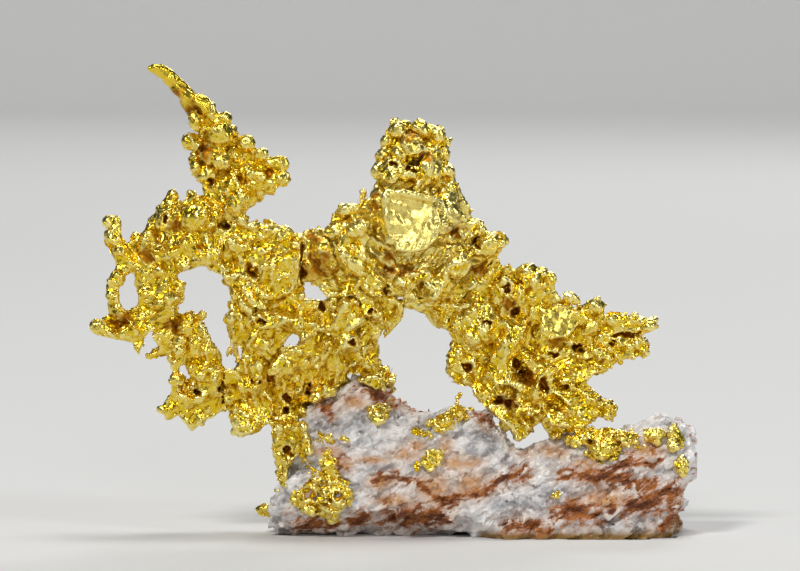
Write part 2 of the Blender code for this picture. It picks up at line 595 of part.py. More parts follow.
def tower():
    """The peak over the window: a heap of grains and leaves round one broad flat crystal."""
    gold = Gold(41)
    peak = [
        (-12.2, 36.4), (-12.4, 38.6), (-12.3, 39.9), (-11.7, 40.6), (-12.2, 42.0), (-11.4, 43.1),
        (-11.5, 44.0), (-10.9, 44.8), (-11.2, 45.9), (-10.3, 46.3), (-9.7, 47.2), (-8.8, 47.3),
        (-8.0, 46.8), (-7.0, 47.4), (-6.0, 46.9), (-5.0, 46.6), (-4.1, 45.6), (-3.2, 45.0),
        (-3.8, 44.1), (-3.7, 42.7), (-3.0, 41.7), (-2.8, 40.8), (-2.0, 39.4), (-1.8, 38.0),
        (-1.1, 36.9), (-1.0, 36.0), (0.2, 35.7), (0.6, 34.6), (2.6, 34.2), (2.7, 33.0), (1.9, 31.6),
        (2.2, 30.2), (0.6, 27.4), (-2.8, 24.6), (-4.2, 23.5), (-5.2, 23.6), (-6.0, 25.0),
        (-8.0, 26.1), (-9.2, 26.5), (-12.0, 26.4), (-15.6, 26.6), (-17.8, 27.6), (-18.6, 28.6),
        (-20.0, 29.2), (-20.0, 31.0), (-20.4, 32.2), (-20.4, 34.2), (-18.6, 35.0), (-17.7, 34.9),
        (-16.9, 36.0), (-15.8, 36.6), (-14.4, 37.2), (-13.3, 37.6),
    ]
    gold.leaf(peak, 0.8, thick=2.2, lean=(-0.02, 0.03), lumps=54, lump=(0.8, 1.5), proud=2.1, blades=20)
    gold.crystal(-7.4, 36.0, -2.9, 9.4, 7.6, 1.3, 12, (-9, -4), sides=6)
    gold.crystal(-3.1, 38.2, -1.4, 2.0, 5.2, 1.0, 0, (0, 30), sides=6)
    gold.crystal(1.4, 33.4, -1.8, 4.0, 3.3, 1.6, 20, (-12, -20), sides=6)
    gold.crystal(-2.5, 31.1, -3.0, 2.6, 3.6, 1.5, 10, (-8, 16), sides=6)
    gold.crystal(-15.4, 36.2, -0.8, 4.4, 3.0, 0.9, 20, (12, -8), sides=6)
    gold.crystal(-14.4, 31.6, -2.2, 4.6, 2.2, 0.9, -40, (-20, 10), sides=6)
    gold.crystal(-10.8, 31.4, -3.0, 2.4, 1.6, 0.9, -30, (-14, 0), sides=4)
    gold.leaf(
        [(-16.6, 37.3), (-15.8, 37.9), (-14.0, 38.0), (-12.8, 37.2), (-13.6, 36.4), (-15.6, 36.8)],
        -0.6, thick=1.0,
    )
    gold.rope([(-13.0, 37.8, -0.4, 0.5), (-13.3, 38.9, -0.5, 0.44), (-13.4, 39.6, -0.6, 0.5)])
    gold.rope([(-19.0, 34.6, 0.2, 0.4), (-19.8, 35.0, 0.1, 0.26), (-20.4, 35.1, 0.0, 0.2)], beat=0.8)
    gold.rope([(-18.7, 34.8, 0.2, 0.32), (-18.5, 35.5, 0.1, 0.28)], beat=0.8)
    gold.knobs([
        (-9.2, 46.6, 0.2, 0.9), (-6.9, 46.7, 0.2, 0.95), (-10.8, 45.6, 0.4, 0.7),
        (-4.9, 46.0, 0.2, 0.75), (-11.2, 43.9, 0.4, 0.62), (-11.5, 42.0, 0.2, 0.85),
        (-3.5, 41.7, 0.2, 0.75), (-4.1, 43.2, 0.4, 0.6), (-8.0, 44.6, -1.4, 1.3),
        (-5.6, 43.6, -1.1, 1.1), (-9.9, 42.6, -1.3, 1.3), (-6.6, 41.4, -1.5, 1.3),
        (-4.9, 24.6, 0.6, 1.05), (-9.6, 27.0, 0.6, 0.8), (-0.3, 35.2, 0.2, 0.8),
        (-8.0, 43.0, 3.2, 1.6), (-9.0, 38.4, 3.6, 1.9), (-5.0, 37.4, 3.4, 1.7),
        (-13.0, 33.6, 3.2, 1.7), (-6.6, 32.4, 3.7, 1.9), (-1.4, 32.4, 3.0, 1.5),
        (-17.6, 31.4, -0.8, 1.5), (-17.2, 33.6, 1.8, 1.3), (-8.4, 29.2, -1.8, 1.5),
        (-4.4, 28.6, -1.9, 1.5), (-12.6, 29.0, -1.6, 1.4), (-12.0, 28.0, 3.0, 1.4),
    ])
    gold.sway()
    return gold.finished(TRIANGLES["tower"], cutters=[*tower_cutters(), before_fork(SPRAY_FORK)])


def right_spray(clearance):
    """The spray at the right: a thick fan with a flat plate, fingers of beads, and a foot on the stone."""
    gold = Gold(53)
    fan = [
        (-4.6, 25.4), (-3.7, 23.4), (-3.2, 22.0), (-3.8, 20.2), (-3.9, 18.4), (-2.6, 17.5),
        (-1.0, 16.7), (-0.2, 15.5), (0.5, 14.3), (2.2, 13.3), (3.8, 12.0), (3.8, 11.2), (4.6, 10.6),
        (5.2, 10.8), (5.1, 11.5), (6.2, 12.0), (7.0, 13.0), (7.3, 12.0), (8.2, 11.2), (9.6, 10.8),
        (11.0, 11.0), (12.0, 12.6), (13.2, 13.3), (15.2, 13.2), (15.9, 14.7), (14.8, 15.4),
        (13.2, 16.1), (12.0, 16.8), (11.9, 17.4), (13.4, 18.4), (14.8, 18.6), (15.3, 19.5),
        (17.4, 20.0), (19.4, 20.7), (19.0, 21.3), (19.3, 22.1), (18.2, 22.7), (19.4, 23.2),
        (20.3, 24.0), (19.4, 24.7), (17.6, 24.9), (15.6, 24.9), (14.1, 24.7), (14.0, 26.3),
        (13.3, 27.0), (12.2, 26.5), (11.4, 25.7), (10.0, 26.1), (9.0, 27.0), (8.6, 28.0), (8.9, 29.3),
        (7.4, 30.1), (5.4, 30.6), (4.0, 30.2), (2.8, 30.4), (2.2, 31.4), (1.4, 31.9), (-1.2, 28.4),
    ]
    holes = [
        [(10.6, 21.0), (10.9, 21.6), (12.1, 21.6), (12.0, 20.9)],
        [(15.0, 21.7), (15.2, 22.2), (16.0, 22.0), (15.8, 21.6)],
    ]
    gold.leaf(fan, -0.2, thick=2.0, lean=(-0.04, 0.05), holes=holes, lumps=62, lump=(0.7, 1.4), proud=1.9,
              blades=24)
    gold.crystal(9.4, 24.3, -1.9, 5.0, 4.2, 1.0, 25, (-14, -12), sides=3)
    gold.crystal(6.2, 28.0, -1.5, 3.2, 3.4, 1.0, 0, (-18, 8), sides=6)
    gold.crystal(11.9, 20.5, -1.6, 2.6, 1.3, 0.8, 20, (-10, 0), sides=4)
    gold.crystal(0.6, 24.8, -2.2, 3.4, 5.2, 1.0, 30, (-16, 14), sides=6)
    gold.crystal(6.8, 17.2, -2.2, 4.4, 5.0, 1.0, 10, (14, -16), sides=6)
    finger_beads = [
        (13.2, 26.6, -0.6, 0.8), (17.6, 24.6, -0.8, 0.68), (19.3, 24.2, -0.9, 0.72), (18.3, 23.8, 0.4, 0.6),
        (18.6, 22.0, -0.8, 0.66), (17.4, 21.0, -0.6, 0.62), (18.9, 20.8, -0.8, 0.5), (15.7, 24.2, -1.0, 0.9),
        (14.2, 22.6, -1.1, 0.95), (14.4, 19.2, -0.4, 0.7), (14.9, 14.6, -0.8, 0.85), (13.6, 15.0, -1.2, 0.85),
        (12.4, 15.6, -1.3, 0.8), (14.9, 13.7, -0.2, 0.55), (13.6, 13.9, 0.6, 0.6), (12.2, 14.2, -1.0, 0.8),
        (10.6, 15.8, -1.6, 0.9), (11.0, 14.0, -1.2, 0.8), (4.6, 11.4, -0.6, 0.7), (5.6, 12.6, -0.9, 0.8),
        (8.3, 29.4, -0.2, 0.6), (5.6, 30.0, 0.0, 0.7), (3.4, 29.9, 0.0, 0.6), (-3.2, 19.4, -0.4, 0.75),
    ]
    gold.knobs(finger_beads)
    gold.knobs([
        (2.0, 26.6, 2.6, 1.8), (5.0, 23.0, 2.8, 1.9), (1.4, 20.4, 2.4, 1.7), (6.0, 18.6, 2.6, 1.7),
        (9.6, 21.6, 2.2, 1.5), (3.6, 16.2, 2.0, 1.4), (6.8, 27.2, 2.1, 1.4), (9.0, 16.0, 1.8, 1.3),
        (-0.4, 22.8, -2.2, 1.6), (3.2, 21.4, -2.4, 1.6), (1.2, 18.2, -2.1, 1.5), (4.4, 14.6, -1.6, 1.3),
        (8.2, 13.6, -1.5, 1.2), (3.0, 28.4, -1.6, 1.3), (-1.6, 24.0, -1.8, 1.2), (12.6, 24.0, -1.3, 1.1),
    ])
    gold.sway()
    return gold.finished(TRIANGLES["spray"], cutters=[after_fork(SPRAY_FORK), clearance])


VEIN_RISE = 0.35   # how far the middle of a vein's ropes stands out of the stone's face


def stone_front(tree, x, z):
    """Depth y of the stone's front face at x and z."""
    hit = tree.ray_cast(Vector((x, -40, z)) * MM, Vector((0, 1, 0)))[0]
    return hit.y / MM


def left_end_seam(clearance):
    """The gold that wraps the stone's left end, from the web down to the foot."""
    gold = Gold(61)
    strip = [
        (-24.2, 13.2), (-23.6, 12.0), (-23.6, 9.2), (-23.3, 8.1), (-22.8, 7.6), (-22.8, 5.8),
        (-22.2, 5.7), (-21.9, 7.9), (-21.2, 9.4), (-20.2, 9.8), (-19.3, 9.6), (-19.2, 10.6),
        (-19.6, 11.6), (-20.2, 12.6), (-20.5, 13.8), (-20.6, 15.0), (-22.0, 14.6),
    ]
    gold.leaf(strip, -3.6, thick=4.4, lean=(-0.9, 0.1), lumps=14, lump=(0.6, 1.0), proud=1.2)
    gold.rope([(-20.7, 14.6, -1.6, 0.5), (-20.9, 13.0, -2.6, 0.6), (-21.4, 11.6, -3.4, 0.8)])
    gold.rope([(-22.9, 8.6, -2.4, 0.7), (-22.8, 7.2, -2.2, 0.5), (-22.7, 5.9, -1.8, 0.4)])
    return gold.finished(TRIANGLES["end seam"], crumple=0.3, cutters=[
        clearance, half_space((0, 0, SEAM_HEAD - FORK_GAP / 2), (0, 0, 1)),
    ])


def left_tip_nub(clearance):
    """The blunt wire of gold that pokes out of the stone's pointed left foot."""
    gold = Gold(67)
    gold.rope([(-24.2, 2.7, -0.8, 0.75), (-24.9, 2.75, -0.9, 0.72), (-25.3, 2.8, -0.9, 0.5)], beat=0.4)
    return gold.finished(TRIANGLES["tip nub"], crumple=0.12, cutters=[clearance])


def stone_patch(tree, cutters, seed, ropes, triangles, crumple=0.2):
    """A vein of gold that crops out of the stone's front face, along ropes of x, z and radius."""
    gold = Gold(seed)
    for rope in ropes:
        gold.rope([(x, z, stone_front(tree, x, z) - VEIN_RISE, r) for x, z, r in rope], beat=0.5)
    return gold.finished(triangles, crumple=crumple, cutters=cutters)


FRONT_PATCH = [
    [(-17.6, 9.6, 0.75), (-17.2, 8.2, 0.8), (-17.0, 7.0, 0.95), (-16.2, 6.2, 0.95), (-15.6, 5.0, 0.95),
     (-16.2, 4.4, 1.0), (-17.2, 4.2, 1.0), (-17.6, 3.4, 0.95), (-16.6, 2.6, 0.8)],
    [(-17.0, 7.0, 0.95), (-18.6, 6.3, 0.85), (-19.8, 5.6, 0.85), (-20.8, 5.0, 0.8), (-20.6, 3.8, 0.85),
     (-19.2, 3.5, 0.9), (-17.6, 3.4, 0.95)],
]
RIGHT_LEDGE = [
    [(10.6, 10.6, 0.95), (11.6, 11.2, 1.1), (12.8, 11.0, 1.2), (13.6, 9.9, 1.2), (14.4, 9.8, 1.1),
     (15.4, 10.8, 1.1), (16.4, 11.0, 1.0), (17.4, 11.0, 0.85)],
    [(12.8, 11.0, 1.1), (14.2, 11.3, 1.0), (15.4, 10.8, 1.0)],
]
END_SPECK = [[(22.2, 11.9, 0.8), (22.6, 11.0, 0.95), (22.4, 10.4, 0.8)]]
TOP_SPECK = [[(19.6, 11.5, 0.75), (20.2, 11.5, 0.75)]]
FACE_SPECK = [[(22.9, 8.2, 0.7), (22.9, 7.6, 0.7)]]
NOTCH_VEIN = [(-5.6, 12.7, 0.75), (-4.6, 12.6, 0.9), (-3.6, 13.1, 0.95), (-2.8, 13.6, 0.9), (-2.1, 13.6, 0.8)]
FACE_FLECK = [[(-5.9, 8.4, 0.7), (-5.4, 9.2, 0.8), (-4.6, 9.6, 0.7)]]
SHOULDER_FLECK = [[(-11.5, 14.2, 0.9), (-11.8, 13.4, 0.85)]]


def notch_vein(tree, clearance):
    """The vein at the left of the notch, with a thin upright sliver of gold that stands on it."""
    gold = Gold(71)
    gold.rope([(x, z, stone_front(tree, x, z) - VEIN_RISE, r) for x, z, r in NOTCH_VEIN], beat=0.5)
    gold.rope([
        (-2.2, 16.7, -0.9, 0.32), (-2.3, 16.0, -1.0, 0.4), (-2.6, 15.3, -1.1, 0.4),
        (-2.7, 14.9, -1.2, 0.45), (-2.5, 14.2, -1.9, 0.6), (-2.6, 13.7, -2.6, 0.7),
    ], beat=0.5)
    return gold.finished(TRIANGLES["notch vein"], crumple=0.1, cutters=[clearance])


def main():
    clear_scene()
    gold = material("gold", (0.93, 0.66, 0.16), 1.0, 0.32)
    quartz = material("milky_quartz", (0.80, 0.78, 0.76), 0.0, 0.45)

    stone = quartz_stone()
    tree = BVHTree.FromBMesh(stone)
    clearance = clearance_of(stone, FIT_GAP)

    spray = right_spray(clearance)
    off_spray = clearance_of(spray, FIT_GAP)

    pieces = {
        "left_loop_gold": left_loop(),
        "horned_crest_gold": horned_crest(),
        "middle_web_gold": middle_web(clearance),
        "tower_gold": tower(),
        "right_spray_gold": spray,
        "left_end_seam_gold": left_end_seam(clearance),
        "left_tip_nub_gold": left_tip_nub(clearance),
        "front_patch_gold": stone_patch(tree, [clearance], 73, FRONT_PATCH, TRIANGLES["front patch"]),
        "right_ledge_gold": stone_patch(
            tree, [clearance, off_spray], 79, RIGHT_LEDGE, TRIANGLES["right ledge"],
        ),
        "end_speck_gold": stone_patch(tree, [clearance], 83, END_SPECK, TRIANGLES["speck"]),
        "top_speck_gold": stone_patch(tree, [clearance], 89, TOP_SPECK, TRIANGLES["speck"]),
        "face_speck_gold": stone_patch(tree, [clearance], 97, FACE_SPECK, TRIANGLES["speck"]),
        "notch_vein_gold": notch_vein(tree, clearance),
        "face_fleck_gold": stone_patch(tree, [clearance], 103, FACE_FLECK, TRIANGLES["speck"]),
        "shoulder_fleck_gold": stone_patch(tree, [clearance], 107, SHOULDER_FLECK, TRIANGLES["speck"]),
    }
    mesh_object("quartz_matrix", stone, quartz)
    for name, bm in pieces.items():
        mesh_object(name, bm, gold)


main()
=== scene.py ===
import math
import random

import bmesh
import bpy
import numpy as np
from mathutils import Matrix, Vector, noise
from mathutils.bvhtree import BVHTree


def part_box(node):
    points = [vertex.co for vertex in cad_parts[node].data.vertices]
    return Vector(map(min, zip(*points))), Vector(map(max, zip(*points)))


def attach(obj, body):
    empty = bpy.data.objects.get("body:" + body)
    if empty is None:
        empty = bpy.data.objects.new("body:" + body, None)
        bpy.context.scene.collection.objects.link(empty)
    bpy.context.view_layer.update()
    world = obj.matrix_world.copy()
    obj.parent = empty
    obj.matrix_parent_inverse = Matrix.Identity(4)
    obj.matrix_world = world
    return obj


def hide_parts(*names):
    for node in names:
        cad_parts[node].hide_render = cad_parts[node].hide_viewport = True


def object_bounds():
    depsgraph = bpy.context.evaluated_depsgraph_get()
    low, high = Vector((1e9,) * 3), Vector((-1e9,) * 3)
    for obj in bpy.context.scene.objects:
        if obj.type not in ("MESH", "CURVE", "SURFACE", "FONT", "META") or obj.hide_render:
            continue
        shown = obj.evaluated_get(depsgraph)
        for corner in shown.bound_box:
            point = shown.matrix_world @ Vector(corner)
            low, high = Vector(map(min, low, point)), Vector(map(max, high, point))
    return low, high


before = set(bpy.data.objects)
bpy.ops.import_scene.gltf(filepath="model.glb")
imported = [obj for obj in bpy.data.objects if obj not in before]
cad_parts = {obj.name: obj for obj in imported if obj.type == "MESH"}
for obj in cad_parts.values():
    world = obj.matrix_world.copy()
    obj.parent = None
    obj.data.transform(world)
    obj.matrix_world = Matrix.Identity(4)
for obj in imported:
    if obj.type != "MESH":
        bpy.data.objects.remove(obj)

solid_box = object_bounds()


# The view. The specimen is seen square to its face and from a little above its foot, through a long
# lens. The middle of the picture lies left of the stone's middle and about half way up the gold.
VIEW_DISTANCE = 0.6
VIEW_RISE = math.radians(3.4)
VIEW_MIDDLE = Vector((-0.009195, 0.0, 0.0285))
VIEW_WIDTH = 0.09195

camera = bpy.data.objects.new("camera", bpy.data.cameras.new("camera"))
bpy.context.scene.collection.objects.link(camera)
camera.location = VIEW_MIDDLE + VIEW_DISTANCE * Vector((0, -math.cos(VIEW_RISE), math.sin(VIEW_RISE)))
camera.rotation_euler = (math.pi / 2 - VIEW_RISE, 0, 0)
camera.data.sensor_width = 36.0
camera.data.lens = camera.data.sensor_width * VIEW_DISTANCE / VIEW_WIDTH
camera.data.clip_start = 0.01
bpy.context.scene.camera = camera


# The floor is one plain pale matt sheet that curves up to a low wall far behind the specimen and all
# round it. Broad soft lights hang over it in a dim room, so the metal shows them against the dark.
FLOOR_RADIUS = 2.2
FLOOR_BEND = 0.35
BEND_STEPS = 12
ROUND_STEPS = 96
FLOOR_ROUGHNESS = 0.9
FLOOR_COLOUR = (0.72, 0.72, 0.71, 1.0)
ROOM_COLOUR = (0.035, 0.037, 0.04, 1.0)
# name, place, what it points at, width, height, power, colour
SOFT_LIGHTS = [
    ("key_light", (-0.55, -0.80, 1.00), VIEW_MIDDLE, 0.32, 0.26, 9.0, (1.0, 0.985, 0.96)),
    ("fill_light", (0.95, -0.65, 0.50), VIEW_MIDDLE, 0.18, 0.32, 2.8, (0.97, 0.985, 1.0)),
    ("top_light", (0.15, 0.20, 1.15), VIEW_MIDDLE, 0.40, 0.30, 5.5, (1.0, 1.0, 1.0)),
    ("front_light", (0.08, -1.20, 0.42), VIEW_MIDDLE, 0.24, 0.18, 1.9, (1.0, 1.0, 1.0)),
    ("back_light", (0.35, 1.10, 0.75), VIEW_MIDDLE, 0.40, 0.32, 3.0, (1.0, 1.0, 1.0)),
    ("floor_light", (0.0, 1.55, 1.00), (0.0, 1.55, 0.0), 1.60, 0.50, 7.5, (1.0, 1.0, 1.0)),
]

bm = bmesh.new()
rim = [(0.0, 0.0), (FLOOR_RADIUS - FLOOR_BEND, 0.0)]
for step in range(1, BEND_STEPS + 1):
    turn = math.pi / 2 * step / BEND_STEPS
    rim.append((FLOOR_RADIUS - FLOOR_BEND * (1 - math.sin(turn)), FLOOR_BEND * (1 - math.cos(turn))))
profile = [bm.verts.new((x, 0, z)) for x, z in rim]
edges = [bm.edges.new(pair) for pair in zip(profile, profile[1:])]
bmesh.ops.spin(
    bm, geom=profile + edges, cent=(0, 0, 0), axis=(0, 0, 1), angle=math.tau, steps=ROUND_STEPS,
    use_merge=True,
)
bmesh.ops.remove_doubles(bm, verts=bm.verts, dist=1e-5)
bmesh.ops.recalc_face_normals(bm, faces=bm.faces)
if bm.faces[0].normal.z < 0:
    bmesh.ops.reverse_faces(bm, faces=bm.faces)
for face in bm.faces:
    face.smooth = True
floor_mesh = bpy.data.meshes.new("floor")
bm.to_mesh(floor_mesh)
bm.free()
floor = bpy.data.objects.new("floor", floor_mesh)
bpy.context.scene.collection.objects.link(floor)
floor_look = bpy.data.materials.new("pale_floor")
floor_look.use_nodes = True
floor_paint = floor_look.node_tree.nodes["Principled BSDF"].inputs
floor_paint["Base Color"].default_value = FLOOR_COLOUR
floor_paint["Roughness"].default_value = FLOOR_ROUGHNESS
floor_mesh.materials.append(floor_look)

for name, place, aim, width, height, power, colour in SOFT_LIGHTS:
    lamp = bpy.data.objects.new(name, bpy.data.lights.new(name, "AREA"))
    lamp.data.shape, lamp.data.size, lamp.data.size_y = "RECTANGLE", width, height
    lamp.data.energy, lamp.data.color = power, colour
    lamp.location = place
    lamp.rotation_euler = (Vector(aim) - Vector(place)).to_track_quat("-Z", "Y").to_euler()
    lamp.visible_camera = False
    bpy.context.scene.collection.objects.link(lamp)

room = bpy.data.worlds.new("room")
room.use_nodes = True
room.node_tree.nodes["Background"].inputs["Color"].default_value = ROOM_COLOUR
bpy.context.scene.world = room
bpy.context.scene.view_settings.view_transform = "Standard"


# The stone is one block of milky quartz, broken out of a vein. It parts along slanting layers into
# blocks, glassy white where fresh and stained by rust where water crept in. The gold grew on and in it.
MM = 0.001
STONE_CELL = 0.21
STONE_DIP = math.radians(26)
STONE_SHRINK = -0.35
STONE_CREASE = math.radians(38)
STONE_SEED, FLAT_SEED, CHIP_SEED = 3, 5.0, 9.0
# What breaks its faces: sizes along, across and through the layers, rise, and width of the cracks.
FLAT_SIZE, FLAT_RISE, FLAT_CRACK = (2.3, 1.8, 1.1), 0.36, 0.16
CHIP_SIZE, CHIP_RISE, CHIP_CRACK = (0.9, 0.8, 0.5), 0.17, 0.10
GRIT_SIZE, GRIT_RISE = 0.45, 0.04
# The smoother front of the foot: its reach, then x and z of its ends.
SMOOTH_FOOT = [(0.7, [(0.4, 0.1), (22.0, 0.1)])]


class Surface:
    """A mesh as arrays, in millimetres, with what its material reads at each vertex."""

    def __init__(self, points, faces, **marks):
        self.points, self.faces, self.marks = points, faces, marks

    @classmethod
    def of_bmesh(cls, bm):
        """The bmesh in triangles. It is used up."""
        bmesh.ops.triangulate(bm, faces=bm.faces)
        bm.verts.index_update()
        points = np.array([vert.co for vert in bm.verts], dtype=np.float64)
        faces = np.array([[vert.index for vert in face.verts] for face in bm.faces])
        bm.free()
        return cls(points, faces)

    @classmethod
    def of_node(cls, node, swell, neighbours=(), closing=0.0, reach=0.5):
        """The solid's form, moved out by swell, or by closing where a neighbour lies within reach."""
        bm = bmesh.new()
        bm.from_mesh(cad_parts[node].data)
        bmesh.ops.remove_doubles(bm, verts=bm.verts, dist=0.0005 * MM)
        solid = cls.of_bmesh(bm)
        rise = np.full(len(solid.points), swell)
        for other in neighbours:
            beside = bmesh.new()
            beside.from_mesh(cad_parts[other].data)
            tree = BVHTree.FromBMesh(beside)
            beside.free()
            near = [tree.find_nearest(Vector(place), reach * MM)[0] is not None for place in solid.points]
            rise[np.array(near)] = closing
        solid.points /= MM
        solid.raised(rise)
        return solid

    @classmethod
    def joined(cls, surfaces):
        """Several surfaces as one, with the marks that all of them have."""
        starts = np.cumsum([0] + [len(each.points) for each in surfaces])
        faces = [each.faces + start for each, start in zip(surfaces, starts)]
        marks = {
            name: np.concatenate([each.marks[name] for each in surfaces])
            for name in surfaces[0].marks if all(name in each.marks for each in surfaces)
        }
        return cls(np.concatenate([each.points for each in surfaces]), np.concatenate(faces), **marks)

    def wrapped(self, cell):
        """One even closed skin round all of it, with cells of that size."""
        wrap = self.object("wrap", None, False)
        remesh = wrap.modifiers.new("skin", "REMESH")
        remesh.mode = "VOXEL"
        remesh.voxel_size = cell * MM
        bpy.context.view_layer.update()
        made = wrap.evaluated_get(bpy.context.evaluated_depsgraph_get()).to_mesh()
        points = np.empty(len(made.vertices) * 3, np.float32)
        made.vertices.foreach_get("co", points)
        corners = np.empty(len(made.loops), np.int32)
        made.loops.foreach_get("vertex_index", corners)
        corners = corners.reshape(-1, 4)
        mesh = wrap.data
        bpy.data.objects.remove(wrap)
        bpy.data.meshes.remove(mesh)
        faces = np.concatenate((corners[:, [0, 1, 2]], corners[:, [0, 2, 3]]))
        return Surface(points.reshape(-1, 3).astype(np.float64) / MM, faces)

    def gathered(self, values, places):
        """Sums of the rows of values at each vertex."""
        columns = [np.bincount(places, values[:, axis], len(self.points)) for axis in range(3)]
        return np.stack(columns, axis=1)

    def normals(self):
        a, b, c = (self.points[self.faces[:, corner]] for corner in range(3))
        total = self.gathered(np.repeat(np.cross(b - a, c - a), 3, axis=0), self.faces.ravel())
        return total / np.maximum(np.linalg.norm(total, axis=1, keepdims=True), 1e-12)

    def relaxed(self, times):
        """The vertices after that many rounds of moving half way to the mean of their neighbours."""
        pairs = np.concatenate([self.faces[:, [0, 1]], self.faces[:, [1, 2]], self.faces[:, [2, 0]]])
        number = np.bincount(pairs[:, 0], minlength=len(self.points))[:, None]
        points = self.points
        for _ in range(times):
            points = 0.5 * points + 0.5 * self.gathered(points[pairs[:, 1]], pairs[:, 0]) / number
        return points

    def raised(self, heights):
        self.points = self.points + self.normals() * heights[:, None]

    def sunk(self, rounds, depth):
        """1 where the surface lies that deep below its surroundings, -1 where it stands proud of them."""
        below = np.einsum("ij,ij->i", self.relaxed(rounds) - self.points, self.normals())
        return np.clip(below / depth, -1.0, 1.0)

    def kept_inside(self, box):
        """Pressed back into a box of the solids."""
        low, high = (np.array(corner) / MM for corner in box)
        self.points = np.clip(self.points, low, high)

    def tree(self):
        return BVHTree.FromPolygons(self.points.tolist(), self.faces.tolist())

    def object(self, name, look, smooth):
        mesh = bpy.data.meshes.new(name)
        mesh.from_pydata(self.points * MM, [], self.faces)
        mesh.polygons.foreach_set("use_smooth", np.broadcast_to(smooth, len(self.faces)).astype(bool))
        for mark, values in self.marks.items():
            mesh.attributes.new(mark, "FLOAT", "POINT").data.foreach_set("value", values.astype(np.float32))
        if look:
            mesh.materials.append(look)
        mesh.update()
        made = bpy.data.objects.new(name, mesh)
        bpy.context.scene.collection.objects.link(made)
        return made


def ripple(points, size):
    """Smooth noise from -1 to 1 with waves of about that size."""
    return np.array([noise.noise(place) for place in (points / size).tolist()])


def breaks(points, size, seed):
    """A broken surface: the height of flats of many tilts, and how near each point is to a crack."""
    height, crack = np.empty(len(points)), np.empty(len(points))
    for number, place in enumerate((points / size + seed).tolist()):
        reach, near = noise.voronoi(place)
        x, y, z = near[0]
        tilt = noise.cell_vector((x * 9.7, y * 9.7, z * 9.7))
        height[number] = tilt[2] - 0.5 + 1.6 * (
            (tilt[0] - 0.5) * (place[0] - x) + (tilt[1] - 0.5) * (place[1] - y)
            + (tilt[2] - 0.5) * (place[2] - z)
        )
        crack[number] = reach[1] - reach[0]
    return height, crack


def spots(points, places):
    """How strongly soft spots cover each point, seen from the front: x, z and the reach along x and z."""
    cover = np.zeros(len(points))
    for x, z, reach_x, reach_z in places:
        away = ((points[:, 0] - x) / reach_x) ** 2 + ((points[:, 2] - z) / reach_z) ** 2
        cover = np.maximum(cover, np.exp(-away))
    return cover


def veins(points, lines, spread=1.0):
    """The same for lines: each is its reach and the x and z of its corners."""
    cover = np.zeros(len(points))
    seen = points[:, [0, 2]]
    for reach, corners in lines:
        for start, end in zip(corners, corners[1:]):
            along = np.subtract(end, start)
            share = np.clip((seen - start) @ along / (along @ along), 0, 1)
            away = np.linalg.norm(seen - start - share[:, None] * along, axis=1) / (reach * spread)
            cover = np.maximum(cover, np.exp(-away ** 2))
    return cover


def places_on(skin, chance, number, where=None, facing=0.0):
    """Random places all over a skin, and its normals there. where weighs its faces by their centres, and
    faces that look less to the front or back than facing are left out."""
    corners = skin.points[skin.faces]
    flat = np.cross(corners[:, 1] - corners[:, 0], corners[:, 2] - corners[:, 0])
    weight = np.linalg.norm(flat, axis=1)
    weight = weight * (np.abs(flat[:, 1]) >= facing * weight)
    if where is not None:
        weight = weight * where(corners.mean(axis=1))
    picked = chance.choice(len(weight), number, p=weight / weight.sum())
    share = chance.dirichlet((1, 1, 1), number)
    places = np.einsum("ij,ijk->ik", share, corners[picked])
    return places, flat[picked] / np.maximum(np.linalg.norm(flat[picked], axis=1, keepdims=True), 1e-12)


def planted(forms, axes, places, chance):
    """The forms, in turn, at the places. axes are each one's three half axes."""
    made = []
    for turn, form in enumerate(forms):
        mine = slice(turn, None, len(forms))
        placed = np.einsum("vk,nkj->nvj", form.points, axes[mine]) + places[mine][:, None, :]
        count, size = placed.shape[:2]
        if count:
            faces = form.faces[None] + size * np.arange(count)[:, None, None]
            tone_and_light = np.repeat(chance.random(count), size)
            made.append(Surface(placed.reshape(-1, 3), faces.reshape(-1, 3), tone_and_light=tone_and_light))
    return Surface.joined(made)


def chunk(seed):
    """A block of quartz with uneven corners, one unit from its middle to its sides."""
    chance = random.Random(seed)
    bm = bmesh.new()
    bmesh.ops.create_cube(bm, size=2.0)
    for vert in bm.verts:
        vert.co += Vector([chance.uniform(-0.34, 0.22) * math.copysign(1, value) for value in vert.co])
    return Surface.of_bmesh(bm)


CHUNKS = [chunk(seed) for seed in range(9)]
# How far a block tips and turns out of the layers, in radians.
CHUNK_TIP, CHUNK_TURN = 0.16, 0.35
# How many, half sizes along, across and through the layers, and how far they stick out of the face.
CHUNK_CROPS = [(330, (1.7, 1.3, 0.85), 0.50), (700, (0.95, 0.8, 0.45), 0.42), (1200, (0.5, 0.45, 0.28), 0.36)]


def laid(skin, chance, number, half, proud):
    """Blocks that lie in the stone's slanting layers and stick out of the skin by part of their size."""
    places, normals = places_on(skin, chance, number)
    turn = Matrix.Rotation(-STONE_DIP, 3, "Y")
    axes = np.empty((number, 3, 3))
    for place in range(number):
        tip = Matrix.Rotation(chance.normal() * CHUNK_TIP, 3, "Y")
        twist = Matrix.Rotation(chance.normal() * CHUNK_TURN, 3, "Z")
        axes[place] = (turn @ (tip @ twist)).transposed()
    scale = np.array(half) * chance.uniform(0.65, 1.35, (number, 3))
    reach = np.abs(np.einsum("nkj,nj->nk", axes, normals)) * scale
    places = places - normals * (reach.sum(axis=1) * (1 - proud * chance.uniform(0.5, 1.0, number)))[:, None]
    return planted(CHUNKS, axes * scale[:, :, None], places, chance)


chance = np.random.default_rng(STONE_SEED)
core = Surface.of_node("quartz_matrix", STONE_SHRINK)
